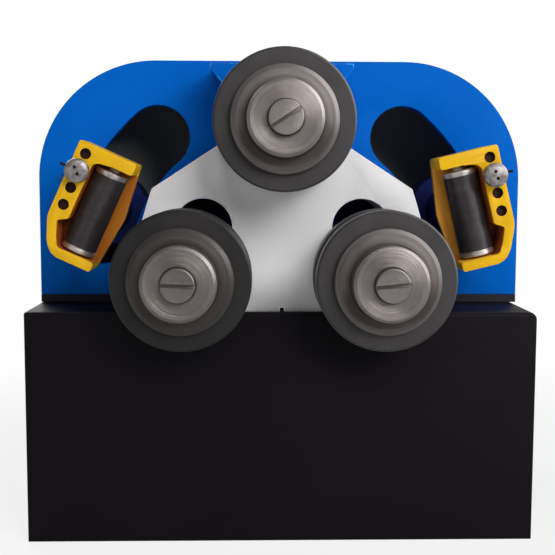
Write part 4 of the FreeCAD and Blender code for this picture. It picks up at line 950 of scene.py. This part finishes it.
def makeBead(name, path, slotName):
    look = weldLook
    shape = bmesh.new()
    stations = []
    for start, end in zip(path, path[1:]):
        count = max(1, round((end - start).length / look["ripple"] * look["rippleSteps"]))
        stations += [start.lerp(end, step / count) for step in range(count)]
    rings = []
    travelled = 0.0
    for number, spot in enumerate(stations[:-1]):
        run = stations[number + 1] - spot
        travelled += run.length
        turn = back.rotation_difference(run.normalized())
        wave = 2 * math.pi * travelled / look["ripple"]
        slow = look["slowSwell"] * math.sin(wave * look["slowWave"])
        radius = look["radius"] * (1 + look["swell"] * math.sin(wave) + slow)
        offset = Vector([math.sin(wave * share) for share in look["wanderWaves"]]) * look["wander"]
        ring = []
        for corner in range(look["sides"]):
            angle = 2 * math.pi * corner / look["sides"]
            around = Vector((math.cos(angle) * radius, 0, math.sin(angle) * radius))
            ring.append(shape.verts.new(spot + offset + turn @ around))
        rings.append(ring)
    for before, after in zip(rings, rings[1:]):
        for corner in range(look["sides"]):
            following = (corner + 1) % look["sides"]
            shape.faces.new((before[corner], before[following], after[following], after[corner]))
    for ring in (rings[0], rings[-1]):
        shape.faces.new(ring)
    bmesh.ops.recalc_face_normals(shape, faces=shape.faces)
    addPiece(shape, name, "frame", slotName, [finishes[slotName]])


def makeWelds():
    look = weldLook
    low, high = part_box("casing_wrap")
    corner = look["corner"]
    turns = [math.pi / 2 * step / look["cornerSteps"] for step in range(look["cornerSteps"] + 1)]
    arch = [(low.x, low.z + look["radius"])]
    arch += [(low.x + corner - math.cos(turn) * corner, high.z - corner + math.sin(turn) * corner)
             for turn in turns]
    arch += [(-x, z) for x, z in reversed(arch)]
    for name, depth in (("front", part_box("front_plate")[1].y), ("rear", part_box("rear_plate")[0].y)):
        makeBead("casing_weld_" + name, [Vector((x, depth, z)) for x, z in arch], "blue_paint")


makeWelds()
print("welds laid")


# camera, floor and light
shot = {"at": (-0.0358, -1.4032, 0.4393), "yaw": 0.0254, "pitch": 0.0969, "roll": 0.0033, "focalPixels": 1000,
        "framePixels": 555, "sensor": 36}
lens = bpy.data.cameras.new("camera")
lens.sensor_width = shot["sensor"]
lens.lens = shot["focalPixels"] / shot["framePixels"] * shot["sensor"]
camera = bpy.data.objects.new("camera", lens)
scene.collection.objects.link(camera)
camera.matrix_world = (Matrix.Translation(shot["at"]) @ Matrix.Rotation(-shot["yaw"], 4, "Z")
                       @ Matrix.Rotation(math.pi / 2 - shot["pitch"], 4, "X")
                       @ Matrix.Rotation(shot["roll"], 4, "Z"))
scene.camera = camera

studio = {"floorSide": 30, "floorDrop": 0.0004, "floorWhite": 0.80, "floorRough": 0.9, "floorGlow": 0.80,
          "nearFloor": 0.45, "farFloor": 1.3, "mirroredFloor": 0.2, "ambient": 0.14, "seen": 1.0, "dim": 0.08,
          "behindFrom": 0.25, "behindTo": 0.75, "window": 4.5, "windowAim": (0.86, -0.10, 0.50),
          "windowFrom": 0.62, "windowTo": 0.95}
lamps = {      # place, aim, width, height and how bright it makes a white face at the part
    "key": ((1.05, -2.10, 1.42), (0, -0.3, 0.4), 1.2, 1.0, 0.72),
    "skyLeft": ((-0.28, -1.70, 1.70), (0, -0.25, 0.40), 0.2, 0.5, 0.10),
    "skyRight": ((0.30, -1.70, 1.70), (0, -0.25, 0.40), 0.2, 0.5, 0.08),
    "side": ((1.80, -1.50, 0.60), (0, -0.25, 0.40), 0.2, 0.6, 0.05),
    "fill": ((-1.6, -2.1, 0.6), (0, -0.1, 0.3), 1.4, 1.4, 0.08),
    "rear": ((-1.2, 2.0, 1.6), (0, 0.1, 0.3), 1.4, 1.4, 0.55),
}


def seenRays(nodes):              # camera rays, and rays that carry reflections of the surroundings
    paths = nodes.node("LightPath").socket.node.outputs
    cameraRay, glossy, through = (Wire(nodes, paths[f"Is {kind} Ray"])
                                  for kind in ("Camera", "Glossy", "Transmission"))
    return cameraRay, glossy + through


def makeFloor():
    shape = bmesh.new()
    bmesh.ops.create_grid(shape, x_segments=1, y_segments=1, size=studio["floorSide"] / 2,
                          matrix=Matrix.Translation((0, 0, -studio["floorDrop"])))
    data = bpy.data.meshes.new("floor")
    shape.to_mesh(data)
    shape.free()
    floor = bpy.data.objects.new("floor", data)
    scene.collection.objects.link(floor)
    white = studio["floorWhite"]
    finish = Finish("floor_white", {"Base Color": rgb(white, white, white), "Specular IOR Level": 0.0,
                                    "Roughness": studio["floorRough"]})
    x, y, z = finish.split(finish.spot())
    far = finish.rise((x * x + y * y) ** 0.5, studio["nearFloor"], studio["farFloor"])
    glow = studio["floorGlow"] + far * (1 - studio["floorGlow"])
    cameraRay, other = seenRays(finish)
    lamp = finish.node("Emission", {}, {"Color": rgb(1, 1, 1), "Strength": studio["seen"]})
    lit = Wire(finish, finish.shader.outputs[0])
    share = (cameraRay + other * studio["mirroredFloor"]) * glow
    both = finish.node("MixShader", {}, {0: share, 1: lit, 2: lamp})
    finish.tree.links.new(both.socket, finish.tree.nodes["Material Output"].inputs["Surface"])
    data.materials.append(finish.material)


def makeWorld():                  # white behind the part, a window at the upper right, dim elsewhere
    world = bpy.data.worlds.new("studio")
    scene.world = world
    world.use_nodes = True
    nodes = Nodes(world.node_tree)
    cameraRay, other = seenRays(nodes)
    x, y, z = nodes.split(nodes.node("TexCoord", result="Generated"))
    aim = studio["windowAim"]
    window = nodes.rise(x * aim[0] + y * aim[1] + z * aim[2], studio["windowFrom"], studio["windowTo"])
    behind = nodes.rise(y, studio["behindFrom"], studio["behindTo"])
    mirrored = studio["dim"] + behind * (studio["seen"] - studio["dim"]) + window * studio["window"]
    strength = cameraRay * studio["seen"] + other * mirrored + (1 - cameraRay - other) * studio["ambient"]
    background = world.node_tree.nodes["Background"]
    world.node_tree.links.new(strength.socket, background.inputs["Strength"])
    background.inputs["Color"].default_value = rgb(1, 1, 1)


def makeLamps():
    for name, (place, aim, wide, high, level) in lamps.items():
        light = bpy.data.lights.new(name, "AREA")
        light.shape = "RECTANGLE"
        light.size = wide
        light.size_y = high
        run = Vector(aim) - Vector(place)
        light.energy = level * math.pi ** 2 * run.length_squared
        lamp = bpy.data.objects.new(name, light)
        scene.collection.objects.link(lamp)
        lamp.location = place
        lamp.rotation_euler = run.to_track_quat("-Z", "Y").to_euler()


makeFloor()
makeWorld()
makeLamps()
scene.view_settings.view_transform = "Standard"
print("camera, floor and light set")
